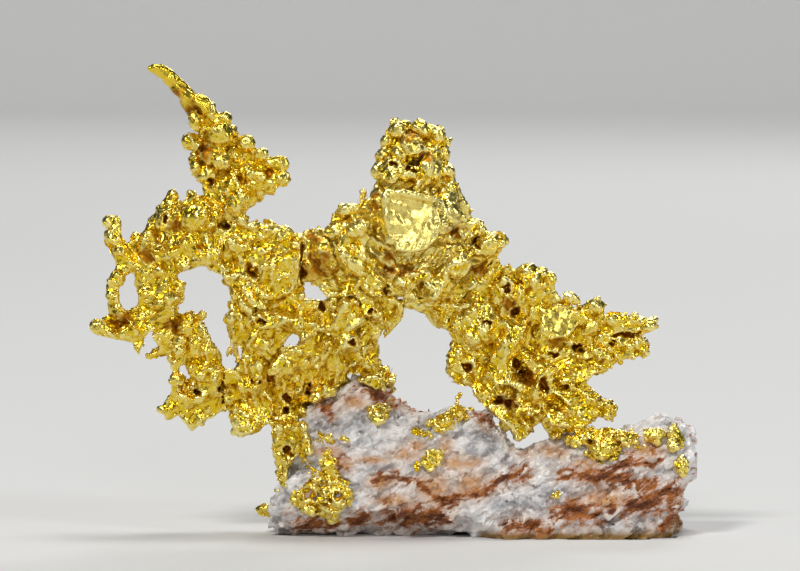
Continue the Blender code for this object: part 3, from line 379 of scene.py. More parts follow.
# Its foot, which the shrinking lifted, goes back down to the plane that the stone stands on.
core.points[:, 2] = np.where(core.points[:, 2] < -STONE_SHRINK + 0.01, 0.0, core.points[:, 2])
stone = Surface.joined([core, *(laid(core, chance, *crop) for crop in CHUNK_CROPS)])
stone = stone.wrapped(STONE_CELL)
layered = stone.points @ np.array(Matrix.Rotation(STONE_DIP, 3, "Y")).T
flats, flat_cracks = breaks(layered, np.array(FLAT_SIZE), FLAT_SEED)
chips, chip_cracks = breaks(layered, np.array(CHIP_SIZE), CHIP_SEED)
grit = ripple(stone.points, GRIT_SIZE)
rough = 1 - 0.85 * veins(stone.points, SMOOTH_FOOT)
stone.raised(rough * (FLAT_RISE * flats + CHIP_RISE * chips + GRIT_RISE * grit))
stone.kept_inside(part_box("quartz_matrix"))

# Stains as the front shows them. A line is its reach and the x and z of its corners, and a spot is its x
# and z and its reach along each.
RUST_LINES = [
    (0.8, [(-20.5, 1.4), (-18.3, 1.7), (-16.6, 1.4)]), (0.6, [(-15.0, 1.5), (-13.0, 2.3)]),
    (1.15, [(-10.0, 2.3), (-8.0, 2.6), (-5.8, 2.2)]), (0.7, [(-6.4, 3.2), (-4.0, 2.2)]),
    (0.42, [(-4.4, 3.9), (-2.6, 4.7), (0.2, 5.5), (2.5, 6.7), (5.4, 7.3)]), (0.45, [(2.0, 6.4), (4.6, 7.0)]),
    (0.55, [(9.4, 7.2), (11.4, 7.0), (14.4, 7.2)]), (0.5, [(14.6, 7.0), (15.6, 8.1), (17.4, 8.8)]),
    (0.45, [(17.6, 8.6), (19.6, 8.0), (20.0, 8.9)]), (0.55, [(15.0, 6.6), (17.6, 6.4), (19.6, 6.0)]),
    (0.8, [(17.2, 3.6), (19.6, 4.2), (22.6, 5.2)]), (0.6, [(19.2, 5.4), (21.6, 5.6)]),
    (0.8, [(9.4, 2.8), (11.0, 3.3), (12.6, 2.7)]), (0.5, [(12.6, 2.7), (15.0, 3.6)]),
    (0.6, [(3.4, 1.3), (5.2, 1.7), (7.2, 1.2)]), (0.6, [(20.5, 1.2), (22.6, 2.4)]),
    (0.6, [(-18.9, 15.4), (-17.4, 14.2)]), (0.9, [(-13.4, 17.4), (-11.2, 16.0)]),
    (0.5, [(-16.3, 8.7), (-15.8, 8.1)]), (0.6, [(-0.8, 14.6), (0.8, 13.2), (2.0, 13.0)]),
    (0.4, [(-12.0, 6.6), (-10.4, 7.2), (-8.6, 7.0)]), (0.35, [(-7.4, 6.4), (-4.6, 4.4)]),
]
PEACH_SPOTS = [
    (-5.2, 6.0, 1.9, 1.8), (-1.2, 6.4, 1.9, 1.5), (-3.0, 8.6, 2.2, 1.0), (-8.6, 9.6, 2.0, 0.8),
    (-7.4, 10.4, 1.4, 0.8), (5.2, 9.7, 1.2, 0.8), (-4.0, 10.2, 0.9, 1.5), (14.0, 4.6, 2.4, 1.0),
    (-17.6, 9.9, 1.8, 0.6), (12.0, 8.4, 1.6, 0.6), (-16.0, 8.5, 1.4, 0.6), (-11.4, 6.4, 1.6, 0.6),
    (-19.0, 5.0, 1.0, 0.8), (-12.4, 9.0, 2.4, 0.5), (-14.6, 15.2, 1.4, 0.7), (-1.2, 8.6, 1.8, 0.7),
    (8.4, 9.6, 1.8, 0.7), (19.2, 10.0, 1.6, 0.8), (-10.0, 4.4, 2.0, 0.6),
]
GREY_SPOTS = [
    (-17.4, 12.8, 2.3, 1.2), (-9.6, 14.4, 1.6, 1.2), (1.1, 11.3, 1.2, 1.0), (12.6, 5.9, 1.5, 0.7),
    (17.0, 7.1, 0.9, 0.5), (6.8, 3.6, 2.0, 0.7), (20.0, 2.4, 2.2, 0.8), (9.0, 5.2, 2.4, 0.8),
    (-13.6, 13.4, 1.3, 0.9), (3.8, 4.2, 2.0, 0.6), (-5.6, 12.8, 1.0, 1.0), (14.0, 1.8, 2.4, 0.7),
]
RIM_LINES = [(0.85, [(0.6, 0.0), (22.4, 0.0)]), (0.5, [(22.4, 0.6), (23.0, 3.2)])]
front = np.clip((1.5 - stone.points[:, 1]) / 3.0, 0, 1)
patches = np.clip(ripple(layered + 40.0, np.array([6.0, 4.5, 2.6])) * 2.6 - 0.35, 0, 1)
ragged = 0.72 + 0.55 * ripple(layered, np.array([1.6, 1.0, 0.6]))
cloudy = np.clip(ripple(layered, np.array([2.6, 2.0, 1.1])) * 2 - 0.3, 0, 0.7)
strayed = stone.points + 0.5 * np.stack([
    ripple(stone.points + 11.0, 1.3), np.zeros(len(grit)), ripple(stone.points + 31.0, 1.1),
], axis=1)
clefts = np.clip(1.15 - np.minimum(flat_cracks / FLAT_CRACK, chip_cracks / CHIP_CRACK), 0, 1)
rust = np.maximum(veins(strayed, RUST_LINES, 1.2), 0.8 * clefts * veins(strayed, RUST_LINES, 2.2))
rust = rust * front + np.maximum(0.8 * patches, 0.5 * clefts) * (1 - front)
stone.marks["rust"] = np.clip(rust * ragged + 0.10 * clefts, 0, 1)
halo = 0.55 * veins(strayed, RUST_LINES, 2.6) * ragged
peach = (spots(stone.points, PEACH_SPOTS) + halo) * front + 0.4 * patches * (1 - front)
stone.marks["peach"] = np.clip(peach, 0, 1)
stone.marks["grey"] = np.clip(spots(stone.points, GREY_SPOTS) * front + cloudy, 0, 1)
stone.marks["rim"] = veins(stone.points, RIM_LINES)
# How far each point lies below its surroundings, or stands proud of them. The quartz uses it for a painted
# highlight on its proud edges and to paint its hollows darker and browner.
stone.marks["hollow"] = stone.sunk(12, 0.22)


class Shade:
    """A socket of a shader, so that shader maths reads as plain expressions."""

    def __init__(self, nodes, socket):
        self.nodes, self.socket = nodes, socket

    def out(self, kind, settings=None, output=0, **inputs):
        """Any other node: its type, its settings, then the values or links of its sockets."""
        made = self.nodes.new(kind)
        for name, value in (settings or {}).items():
            setattr(made, name, value)
        for name, value in inputs.items():
            key = int(name[1:]) if name[0] == "_" else name.replace("_", " ")
            if isinstance(value, Shade):
                self.nodes.id_data.links.new(value.socket, made.inputs[key])
            else:
                made.inputs[key].default_value = value
        return Shade(self.nodes, made.outputs[output])

    def maths(self, operation, *values):
        slots = {f"_{place}": value for place, value in enumerate(values)}
        return self.out("ShaderNodeMath", {"operation": operation}, **slots)

    def __add__(self, other):
        return self.maths("ADD", self, other)

    __radd__ = __add__

    def __sub__(self, other):
        return self.maths("SUBTRACT", self, other)

    def __rsub__(self, other):
        return self.maths("SUBTRACT", other, self)

    def __mul__(self, other):
        return self.maths("MULTIPLY", self, other)

    __rmul__ = __mul__

    def between(self, low, high):
        """0 below low, 1 above high and even between."""
        return self.out("ShaderNodeMapRange", {"clamp": True}, Value=self, From_Min=low, From_Max=high)

    def colours(self, low, high):
        """The mix of two colours that this value sets."""
        return self.out("ShaderNodeMix", {"data_type": "RGBA"}, output=2, _0=self, _6=low, _7=high)


def finish_of(name, build, **constants):
    """A material: build gets a Shade to start from and returns the Principled sockets that vary."""
    made = bpy.data.materials.new(name)
    made.use_nodes = True
    tree = made.node_tree
    shader = tree.nodes["Principled BSDF"]
    for key, value in constants.items():
        shader.inputs[key.replace("_", " ")].default_value = value
    for key, value in build(Shade(tree.nodes, None)).items():
        tree.links.new(value.socket, shader.inputs[key])
    return made


def mark(start, name):
    """What the mesh holds at each vertex under that name."""
    return start.out("ShaderNodeAttribute", {"attribute_name": name}, output=2)


def mottled(start, place, scale, detail, roughness):
    """Soft noise from 0 to 1."""
    return start.out("ShaderNodeTexNoise", Vector=place, Scale=scale, Detail=detail, Roughness=roughness)


def facets(start, place, scale):
    """Height of small flats of many tilts."""
    cells = start.out("ShaderNodeTexVoronoi", output=1, Vector=place, Scale=scale)
    middle = Shade(cells.nodes, cells.socket.node.outputs["Position"])
    size = (scale, scale, scale)
    scaled = start.out("ShaderNodeVectorMath", {"operation": "MULTIPLY"}, _0=place, _1=size)
    away = start.out("ShaderNodeVectorMath", {"operation": "SUBTRACT"}, _0=scaled, _1=middle)
    tilts = start.out("ShaderNodeVectorMath", {"operation": "SUBTRACT"}, _0=cells, _1=(0.5, 0.5, 0.5))
    return start.out("ShaderNodeVectorMath", {"operation": "DOT_PRODUCT"}, output=1, _0=away, _1=tilts)


# The colours of the quartz, of its stains, of the brown rim of its foot, of the painted highlight on its
# proud edges and of its darker, browner hollows.
DULL_MILK, MILK, EDGE_HIGHLIGHT = (0.54, 0.54, 0.56, 1), (0.94, 0.91, 0.89, 1), (0.98, 0.96, 0.94, 1)
SMOKE, PEACH, HOLLOW_BROWN = (0.24, 0.25, 0.28, 1), (0.66, 0.36, 0.16, 1), (0.40, 0.27, 0.18, 1)
RIM_BROWN, RUST, OLD_RUST = (0.30, 0.16, 0.035, 1), (0.56, 0.18, 0.022, 1), (0.10, 0.019, 0.002, 1)


def quartz(start):
    place = start.out("ShaderNodeTexCoord", output=3)
    tilt = start.out(
        "ShaderNodeMapping", {"vector_type": "TEXTURE"}, Vector=place, Rotation=(0, -STONE_DIP, 0),
        Scale=(1, 1, 0.42),
    )
    rust, peach, grey, rim, hollow = (
        mark(start, name) for name in ("rust", "peach", "grey", "rim", "hollow")
    )
    clouds = mottled(start, tilt, 380.0, 5.0, 0.6)
    veils = mottled(start, place, 1500.0, 6.0, 0.68)
    seams = mottled(start, tilt, 1100.0, 8.0, 0.72)
    blotch = mottled(start, tilt, 2300.0, 6.0, 0.75)
    white = clouds.between(0.36, 0.55).colours(DULL_MILK, MILK)
    # Painted highlight: parts that stand proud of their surroundings are painted towards near white.
    edge_highlighted = (hollow * -0.8).colours(white, EDGE_HIGHLIGHT)
    cool = (grey * veils.between(0.3, 0.55)).colours(edge_highlighted, SMOKE)
    warm = (peach * veils.between(0.25, 0.5)).colours(cool, PEACH)
    # Hollows are painted darker and browner, more so where the seams noise is high.
    hollows_darkened = (hollow * seams.between(0.4, 0.6) * 0.4).colours(warm, HOLLOW_BROWN)
    browned = (rim * 1.3 * seams.between(0.2, 0.4)).colours(hollows_darkened, RIM_BROWN)
    veined = (rust * 1.5 + hollow * 0.2 + seams * 2.0 + blotch).between(1.84, 2.36)
    age = rust * 0.8 + (blotch - 0.5) * 2.2 + (clouds - 0.5) * 1.4
    rusty = age.between(0.15, 0.80).colours(RUST, OLD_RUST)
    rise = facets(start, tilt, 620.0) * 4.0 + facets(start, tilt, 1500.0) * 1.5
    rise = rise + facets(start, place, 3300.0) * 0.4
    bump = start.out("ShaderNodeBump", Height=rise, Strength=0.45, Distance=0.0002)
    return {
        "Base Color": veined.colours(browned, rusty),
        "Roughness": veined * 0.3 + veils.between(0.35, 0.65) * 0.3 + 0.2,
        "Normal": bump,
    }


milky_quartz = finish_of(
    "milky_quartz", quartz, Subsurface_Weight=0.18, Subsurface_Radius=(0.9, 0.8, 0.8),
    Subsurface_Scale=0.0010, IOR=1.54,
)
quartz_block = stone.object("quartz_block", milky_quartz, True)
quartz_block.data.set_sharp_from_angle(angle=STONE_CREASE)
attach(quartz_block, "root")
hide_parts("quartz_matrix")


# The gold is native: nearly pure metal that grew as crumpled leaves, ropes of grains and small crystals, all
# one skin. Its colour is painted paler on its proud edges, a painted highlight, and darker orange-brown in
# its hollows and pits, painted shade laid over its real orange-brown stain.
GOLD_CELL = 0.145
GOLD_SHRINK = -0.17
GOLD_CLOSING = 0.19
CRYSTAL_CREASE = math.radians(42)
# The relief of a skin of gold: how wide its waves, flats and creases are, and how high or deep.
SWELL_SIZE, SWELL_RISE = 2.6, 0.45
FOLD_SIZE, FOLD_RISE = 0.85, 0.15
PLEAT_SIZE, PLEAT_RISE = 0.42, 0.08
FACE_SIZE, FACE_RISE, FACE_SEED = 0.8, 0.10, 7.0
DENT_WIDTH, DENT_DEPTH = 0.10, 0.03
PIT_DEPTH = 1.6


def jittered(bm, seed, amount):
    """The bmesh with every corner moved a little. It is used up."""
    chance = random.Random(seed)
    for vert in bm.verts:
        vert.co += Vector([chance.uniform(-amount, amount) for _ in range(3)])
    return Surface.of_bmesh(bm)


def tablet(sides, seed):
    """A flat crystal with bevelled sides, one unit from its middle to its corners."""
    bm = bmesh.new()
    for low, wide_end, narrow_end in ((-0.125, 0.82, 1.0), (0.125, 1.0, 0.82)):
        bmesh.ops.create_cone(
            bm, cap_ends=True, segments=sides, radius1=wide_end, radius2=narrow_end, depth=0.25,
            matrix=Matrix.Translation((0, 0, low)),
        )
    inner = [face for face in bm.faces if abs(face.calc_center_median().z) < 0.01]
    bmesh.ops.delete(bm, geom=inner, context="FACES")
    bmesh.ops.remove_doubles(bm, verts=bm.verts, dist=0.001)
    return jittered(bm, seed, 0.09)


def grain(seed):
    """A rounded grain of one unit radius."""
    bm = bmesh.new()
    bmesh.ops.create_icosphere(bm, subdivisions=2, radius=1.0)
    return jittered(bm, seed, 0.09)


def worn_cube(seed):
    """A small cube crystal with worn corners and edges."""
    bm = bmesh.new()
    bmesh.ops.create_cube(bm, size=1.6)
    bmesh.ops.bevel(
        bm, geom=bm.edges[:], offset=0.28, segments=1, affect="EDGES", profile=0.5, material=-1
    )
    return jittered(bm, seed, 0.08)


def leaflet(seed):
    """A scrap of crumpled leaf, curled along its length, one unit from its middle to its ends."""
    chance = random.Random(seed)
    bm = bmesh.new()
    bmesh.ops.create_grid(bm, x_segments=4, y_segments=3, size=1.0)
    curl, twist = chance.uniform(-0.35, 0.1), chance.uniform(-0.25, 0.25)
    for vert in bm.verts:
        x, y, _ = vert.co
        narrow = 1 - 0.35 * x * x
        rounding = 1 - 0.3 * x * x * y * y
        vert.co = Vector((
            x * rounding * chance.uniform(0.88, 1.05),
            y * 0.62 * rounding * narrow + chance.uniform(-0.06, 0.06),
            curl * (x * x - 0.4) + twist * x * y + chance.uniform(-0.12, 0.12),
        ))
    bmesh.ops.solidify(bm, geom=bm.faces[:], thickness=0.2)
    bmesh.ops.recalc_face_normals(bm, faces=bm.faces)
    return Surface.of_bmesh(bm)


def frill(seed):
    """The edge of a leaf that stands out of the skin, wavy, one unit from its middle to its ends."""
    chance = random.Random(seed)
    bm = bmesh.new()
    bmesh.ops.create_grid(bm, x_segments=8, y_segments=2, size=1.0)
    phase, bow = chance.uniform(0, math.tau), chance.uniform(-0.35, 0.35)
    for vert in bm.verts:
        x, y, _ = vert.co
        height = 0.34 * (1 - 0.7 * x * x) * chance.uniform(0.8, 1.1)
        vert.co = Vector((x, 0.17 * math.sin(3.6 * x + phase) + bow * x * x + 0.08 * y, y * height))
    bmesh.ops.solidify(bm, geom=bm.faces[:], thickness=0.11)
    bmesh.ops.recalc_face_normals(bm, faces=bm.faces)
    return Surface.of_bmesh(bm)


TABLETS = [tablet(sides, seed) for sides, seed in ((3, 1), (4, 2), (5, 3), (6, 4), (6, 5))]
GRAINS = [grain(seed) for seed in (11, 12, 13, 14)]
CUBES = [worn_cube(seed) for seed in (21, 22, 23)]
LEAFLETS = [leaflet(seed) for seed in range(31, 38)]
FRILLS = [frill(seed) for seed in range(41, 48)]


def strewn(
    skin, chance, forms, number, size, stretch=(1.0, 1.0), lean=0.3, sink=0.2, where=None, root=None,
    facing=0.0, hug=None,
):
    """Forms at random places of the skin. size is the range of their half width, stretch how long and
    how thick they are for it, lean how far they tip from the skin's normal and sink how deep they sit.
    With a root they lie along the growth out of it. With hug those whose ends are further than that
    from the skin are left out."""
    places, normals = places_on(skin, chance, number, where, facing)
    up = normals + lean * chance.normal(size=(number, 3))
    up /= np.linalg.norm(up, axis=1, keepdims=True)
    along = chance.normal(size=(number, 3))
    if root is not None:
        away = places - (root[0], 0, root[1])
        along = 0.45 * along + away / np.maximum(np.linalg.norm(away, axis=1, keepdims=True), 1e-9)
    along -= np.einsum("ij,ij->i", along, up)[:, None] * up
    along /= np.linalg.norm(along, axis=1, keepdims=True)
    half = size[0] + (size[1] - size[0]) * chance.random(number) ** 1.6
    long_way, thick = stretch
    axes = np.stack([
        along * (half * long_way * chance.uniform(0.8, 1.2, number))[:, None],
        np.cross(up, along) * (half * chance.uniform(0.75, 1.1, number))[:, None],
        up * (half * thick * chance.uniform(0.8, 1.25, number))[:, None],
    ], axis=1)
    places = places - normals * (sink * half)[:, None]
    if hug:
        tree = skin.tree()
        ends = np.stack([places - axes[:, 0], places + axes[:, 0]], axis=1).tolist()
        kept = [all(tree.find_nearest(Vector(end), hug)[0] is not None for end in pair) for pair in ends]
        axes, places = axes[kept], places[kept]
    return planted(forms, axes, places, chance)


def front_at(tree, x, z):
    """Depth y of the first surface that a look from the front meets at x and z."""
    hit = tree.ray_cast(Vector((x, -30.0, z)), Vector((0, 1, 0)))[0]
    return hit.y if hit else 0.0


def set_on(skin, chance, forms, places, sink=0.35):
    """Forms set one by one on the front at the given places: x, z and radius, and for a long one how long it
    is for its width and its tilt in degrees. sink is how far the middle lies behind the face, in radii."""
    tree = skin.tree()
    made = []
    for x, z, radius, *shape in places:
        ratio, tilt = shape or (1.0, 0.0)
        turn = np.array(Matrix.Rotation(math.radians(-tilt), 3, "Y")).T
        axes = turn * (np.array([ratio, 0.9, 1.0]) * radius)[:, None]
        centre = np.array([[x, front_at(tree, x, z) + sink * radius, z]])
        made.append(planted([forms[len(made) % len(forms)]], axes[None], centre, chance))
    return Surface.joined(made)


# A plate is cut from a grid this fine. Its rim is bevelled and its face uneven by the others.
PLATE_GRID, PLATE_BEVEL, PLATE_WAVES = 0.3, 0.12, 0.09


def plate(outline, y, slope, bend, thick):
    """A broad crystal with a convex outline of x and z. Its face lies at depth y at its middle, leans
    back by slope along x and z, and bends forward above and below."""
    low, high = np.min(outline, axis=0), np.max(outline, axis=0)
    middle, half = (low + high) / 2, (high - low) / 2
    bm = bmesh.new()
    steps = np.ceil(2 * half / PLATE_GRID).astype(int)
    bmesh.ops.create_grid(bm, x_segments=int(steps[0]), y_segments=int(steps[1]), size=1.0)
    for vert in bm.verts:
        vert.co = Vector((middle[0] + vert.co.x * half[0], middle[1] + vert.co.y * half[1], 0))
    for start, end in zip(outline, [*outline[1:], outline[0]]):
        side = Vector((end[1] - start[1], start[0] - end[0], 0)).normalized()
        if side.dot(Vector((*start, 0)) - Vector((*middle, 0))) < 0:
            side.negate()
        bmesh.ops.bisect_plane(
            bm, geom=bm.verts[:] + bm.edges[:] + bm.faces[:], plane_co=(*start, 0), plane_no=side,
            clear_outer=True,
        )
    border = bmesh.ops.extrude_face_region(bm, geom=bm.faces[:])
    moved = [item for item in border["geom"] if isinstance(item, bmesh.types.BMVert)]
    bmesh.ops.translate(bm, verts=moved, vec=(0, 0, thick))
    bmesh.ops.recalc_face_normals(bm, faces=bm.faces)
    rim = [edge for edge in bm.edges if edge.is_manifold and edge.calc_face_angle() > 1.0]
    bmesh.ops.bevel(
        bm, geom=rim, offset=PLATE_BEVEL, segments=1, affect="EDGES", profile=0.5, material=-1
    )
    made = Surface.of_bmesh(bm)
    x, z, out = made.points.T
    flats, _ = breaks(np.stack([x, z, 0 * x], axis=1), np.array([1.3, 2.2, 1.0]), 3.0)
    uneven = PLATE_WAVES * (flats + ripple(made.points, 1.0))
    depth = y + slope[0] * (x - middle[0]) + slope[1] * (z - middle[1]) - bend * (z - middle[1]) ** 2
    depth += thick - out - uneven
    made.points = np.stack([x, depth, z], axis=1)
    return made


# Where the front shows stained gold, and holes: x and z, and the reach along each.
STAIN_SPOTS = [
    (-18.4, 31.0, 2.0, 2.2), (-19.0, 34.3, 1.2, 0.9), (-12.0, 38.5, 0.7, 1.2), (-8.0, 45.5, 1.3, 0.8),
    (-6.0, 43.3, 0.9, 0.8), (-3.0, 35.0, 1.3, 1.0), (-10.5, 31.9, 0.9, 0.7), (-9.0, 30.2, 3.0, 0.7),
    (0.0, 30.3, 1.3, 0.9), (-33.0, 49.0, 1.3, 1.3), (-34.8, 50.6, 1.4, 0.9), (-31.3, 44.0, 1.0, 1.2),
    (-38.3, 32.0, 0.9, 1.3), (-35.0, 35.5, 1.2, 0.9), (-41.0, 24.8, 1.3, 0.9), (-35.5, 24.0, 1.1, 1.1),
    (3.2, 15.3, 1.6, 0.9), (-1.3, 19.0, 0.7, 0.8), (-19.6, 16.5, 0.7, 0.7), (3.4, 26.2, 0.9, 1.5),
    (8.6, 21.8, 1.6, 0.8),
]
PITS = [
    (-25.8, 17.6, 0.45, 0.4), (-29.6, 16.6, 0.45, 0.4), (-32.6, 16.4, 0.45, 0.4), (-26.0, 30.3, 0.6, 0.5),
    (-22.2, 15.5, 0.45, 0.4), (-22.4, 14.0, 0.4, 0.4), (-19.7, 16.5, 0.3, 0.8), (-10.7, 28.0, 0.45, 0.5),
    (-12.3, 25.5, 0.4, 0.4), (-18.2, 26.3, 0.4, 0.4), (-29.2, 35.4, 0.4, 0.5), (-20.3, 31.0, 0.25, 2.6),
    (3.0, 28.3, 0.5, 0.5), (4.0, 25.5, 0.5, 0.6), (-1.3, 19.0, 0.5, 0.5), (5.4, 17.9, 0.9, 0.9),
    (2.0, 15.5, 0.5, 0.5), (3.4, 15.0, 0.7, 0.5), (0.7, 24.4, 0.4, 0.4), (15.4, 21.8, 0.5, 0.25),
    (7.2, 17.2, 0.5, 1.0), (4.2, 19.2, 0.4, 0.9), (-8.0, 41.9, 0.5, 0.4), (-10.0, 42.6, 0.4, 0.3),
    (-30.9, 40.4, 0.3, 0.7), (-36.2, 36.4, 0.4, 0.4), (-0.4, 33.6, 0.35, 0.7), (8.4, 20.6, 0.6, 0.4),
    (-25.0, 24.6, 0.4, 0.4), (-14.8, 22.4, 0.4, 0.5), (17.0, 22.8, 2.0, 0.28), (11.4, 21.2, 0.7, 0.35),
    (-19.5, 5.1, 0.75, 0.65), (-18.0, 6.2, 0.6, 0.5), (-17.6, 4.3, 0.75, 0.5), (-16.2, 4.9, 0.5, 0.5),
    (-19.6, 6.6, 0.5, 0.45), (-15.5, 6.7, 0.5, 0.5), (-22.0, 9.9, 0.6, 0.5), (-18.6, 3.4, 0.4, 0.35),
    (12.6, 10.8, 0.5, 0.35), (15.6, 10.6, 0.5, 0.35),
]
# A painted pool of light: where the gold is painted palest, round the tower's plate.
PAINTED_LIGHT_SPOT = [(-6.0, 35.5, 8.0, 8.0)]
# The colours of the gold, whose pale end also serves as painted highlight, and of its stains, which also
# serve as painted shade in its hollows and pits.
RICH_GOLD, PALE_GOLD = (0.84, 0.58, 0.006, 1), (1.0, 0.87, 0.32, 1)
DARK_STAIN_AND_SHADE, LIGHT_STAIN_AND_SHADE = (0.20, 0.065, 0.002, 1), (0.56, 0.24, 0.005, 1)


def gold(start):
    place = start.out("ShaderNodeTexCoord", output=3)
    stain_and_shade, tone_and_light, calm = (mark(start, name) for name in ("stain_and_shade", "tone_and_light", "calm"))
    fine = mottled(start, place, 5200.0, 5.0, 0.6)
    broad = mottled(start, place, 700.0, 4.0, 0.6)
    creases = start.out("ShaderNodeTexVoronoi", {"feature": "DISTANCE_TO_EDGE"}, Vector=place, Scale=2600.0)
    # The stain mark is partly real stain and partly painted shade in hollows and pits.
    stain_and_shade_cover = (stain_and_shade + (broad - 0.5) * 0.5 + (fine - 0.5) * 0.3).between(0.45, 0.95)
    # Painted light and shade: the tone mark, which also varies at random, sets the mix of rich and pale gold.
    clean = (tone_and_light * tone_and_light).colours(RICH_GOLD, PALE_GOLD)
    deep = broad.between(0.35, 0.65).colours(DARK_STAIN_AND_SHADE, LIGHT_STAIN_AND_SHADE)
    rise = fine * 0.16 + creases.between(0.0, 0.2) * 0.18 + facets(start, place, 1800.0) * 0.32
    bump = start.out("ShaderNodeBump", Height=rise * (1.0 - calm * 0.7), Strength=0.30, Distance=0.0001)
    return {
        "Base Color": stain_and_shade_cover.colours(clean, deep),
        "Metallic": 1.0 - stain_and_shade_cover * 0.15,
        "Roughness": tone_and_light * 0.04 + stain_and_shade_cover * 0.25 + fine.between(0.35, 0.7) * 0.08 + 0.22,
        "Normal": bump,
    }


native_gold = finish_of("native_gold", gold)
BRANCHES = ["left_loop_gold", "horned_crest_gold", "middle_web_gold", "tower_gold", "right_spray_gold"]
# Which branches run into which, so that their skins close over the joint.
MEETING = {node: [other for other in BRANCHES if other != node] for node in BRANCHES}
MEETING["left_end_seam_gold"] = ["middle_web_gold"]
MEETING["middle_web_gold"].append("left_end_seam_gold")


def stained(points, base):
    """How stained and shaded the gold is: a base, which in crumpled holds painted shade in hollows and pits,
    plus the real stained places.
    """
    patchy = 0.65 + 0.5 * ripple(points, 1.0)
    return base + 1.4 * spots(points, STAIN_SPOTS) * patchy * np.clip(1.5 - points[:, 1] / 3, 0.3, 1)


def smooth_on(places):
    """Says how near points on the front are to the middle of soft spots, flat across most of each."""
    return lambda points: np.clip(1.7 * spots(points, places) - 0.35, 0, 1) * (points[:, 1] < 0.5)


def clear_of(x, half_x, z, half_z):
    """Says that next to nothing grows on a plate on the front, inside a box of x and z."""
    def weight(points):
        across = (np.abs(points[:, 0] - x) < half_x) & (np.abs(points[:, 2] - z) < half_z)
        return np.where((points[:, 1] < 0) & across, 0.03, 1.0)
    return weight


def body_of(node, swell=GOLD_SHRINK):
    """The solid that the skin of a branch grows on."""
    return Surface.of_node(node, swell, MEETING.get(node, []), GOLD_CLOSING)


def along_growth(points, root):
    """Places round, through and along the growth out of a root, which is its x and z."""
    away = points - (root[0], 0, root[1])
    far = np.hypot(away[:, 0], away[:, 2])
    return np.stack([10 * np.arctan2(away[:, 0], away[:, 2]), away[:, 1], 0.5 * far], axis=1)


def crumpled(lumps, root, cell=GOLD_CELL, crumple=1.0, calm=None, calm_tone=0.8):
    """The lumps grown together under one skin with folds along the growth, small flats and creases.
    calm says from 0 to 1 where it stays smooth, and there the tone is set to calm_tone, which on the plates
    is pale, a painted highlight."""
    skin = Surface.joined(lumps).wrapped(cell)
    quiet = calm(skin.points) if calm else np.zeros(len(skin.points))
    grown = along_growth(skin.points, root) + 0.5 * ripple(skin.points, 1.7)[:, None]
    folds = 1.0 - 3.0 * np.abs(ripple(grown, FOLD_SIZE))
    pleats = 1.0 - 3.0 * np.abs(ripple(grown + 20.0, PLEAT_SIZE))
    flats, cracks = breaks(skin.points, FACE_SIZE, FACE_SEED)
    dents = 1 - np.clip(cracks / DENT_WIDTH, 0, 1)
    swells = ripple(skin.points, SWELL_SIZE)
    rough = SWELL_RISE * swells + FOLD_RISE * folds + PLEAT_RISE * pleats + FACE_RISE * flats
    rough = rough - DENT_DEPTH * dents
    skin.raised(crumple * (1 - 0.9 * quiet) * rough)
    astray = skin.points + 0.45 * ripple(skin.points, 0.9)[:, None] * (1, 0, -1)
    pits = np.clip(1.7 * spots(astray, PITS) - 0.45 - 0.5 * ripple(skin.points, 0.5), 0, 1)
    pits *= skin.normals()[:, 1] < 0.1
    skin.points[:, 1] += PIT_DEPTH * pits
    near, far = skin.sunk(8, 0.10), skin.sunk(40, 0.40)
    sunk = 0.6 * np.maximum(near, 0) + 0.7 * np.maximum(far, 0)
    # Painted shade: the stain grows in hollows and in the pits, on top of the real stained places.
    skin.marks["stain_and_shade"] = np.clip(stained(skin.points, 0.10 + 0.95 * sunk + 0.5 * pits), 0, 1)
    # Painted light and shade: the tone is lighter on proud parts, darker in hollows and lightest round the
    # tower's plate; it also varies with the small flats.
    tone_and_light = 0.45 + 0.3 * flats - 0.4 * near - 0.25 * far + 0.45 * spots(skin.points, PAINTED_LIGHT_SPOT)
    skin.marks["tone_and_light"] = np.clip(tone_and_light + quiet * (calm_tone - tone_and_light), 0, 1)
    skin.marks["calm"] = quiet
    return skin


def shown(name, surface, node=None):
    """The surface as a piece of gold that rides on the one body, and stands for a node if one is named."""
    surface.kept_inside(solid_box)
    made = surface.object(name, native_gold, True)
    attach(made, "root")
    if node:
        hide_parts(node)
    if not node:
        made.data.set_sharp_from_angle(angle=CRYSTAL_CREASE)


def leaves_on(skin, chance, number, size, length, where=None, root=None):
    """Scraps of leaf that lie on a skin."""
    return strewn(
        skin, chance, LEAFLETS, number, size, (length, 1.1), sink=0.35, where=where, root=root,
        facing=0.65, hug=0.35,
    )


def leaf_edges_on(skin, chance, number, size, thick=0.9, where=None, root=None):
    """Edges of leaves that stand out of a skin."""
    return strewn(
        skin, chance, FRILLS, number, size, (1.0, thick), sink=0.0, where=where, root=root,
        facing=0.3, hug=0.3,
    )


def crystals_on(skin, chance, number, size, length, where=None, root=None):
    """Small cubes and grains that stand in a skin."""
    return strewn(
        skin, chance, CUBES + GRAINS, number, size, (length, 0.8), lean=0.5, sink=0.25, where=where, root=root
    )


def crops(name, surfaces):
    """Loose crops of crystals that stand in a skin, as one piece."""
    growth = Surface.joined(surfaces)
    growth.marks["stain_and_shade"] = np.clip(stained(growth.points, 0.10), 0, 1)
    shown(name, growth)


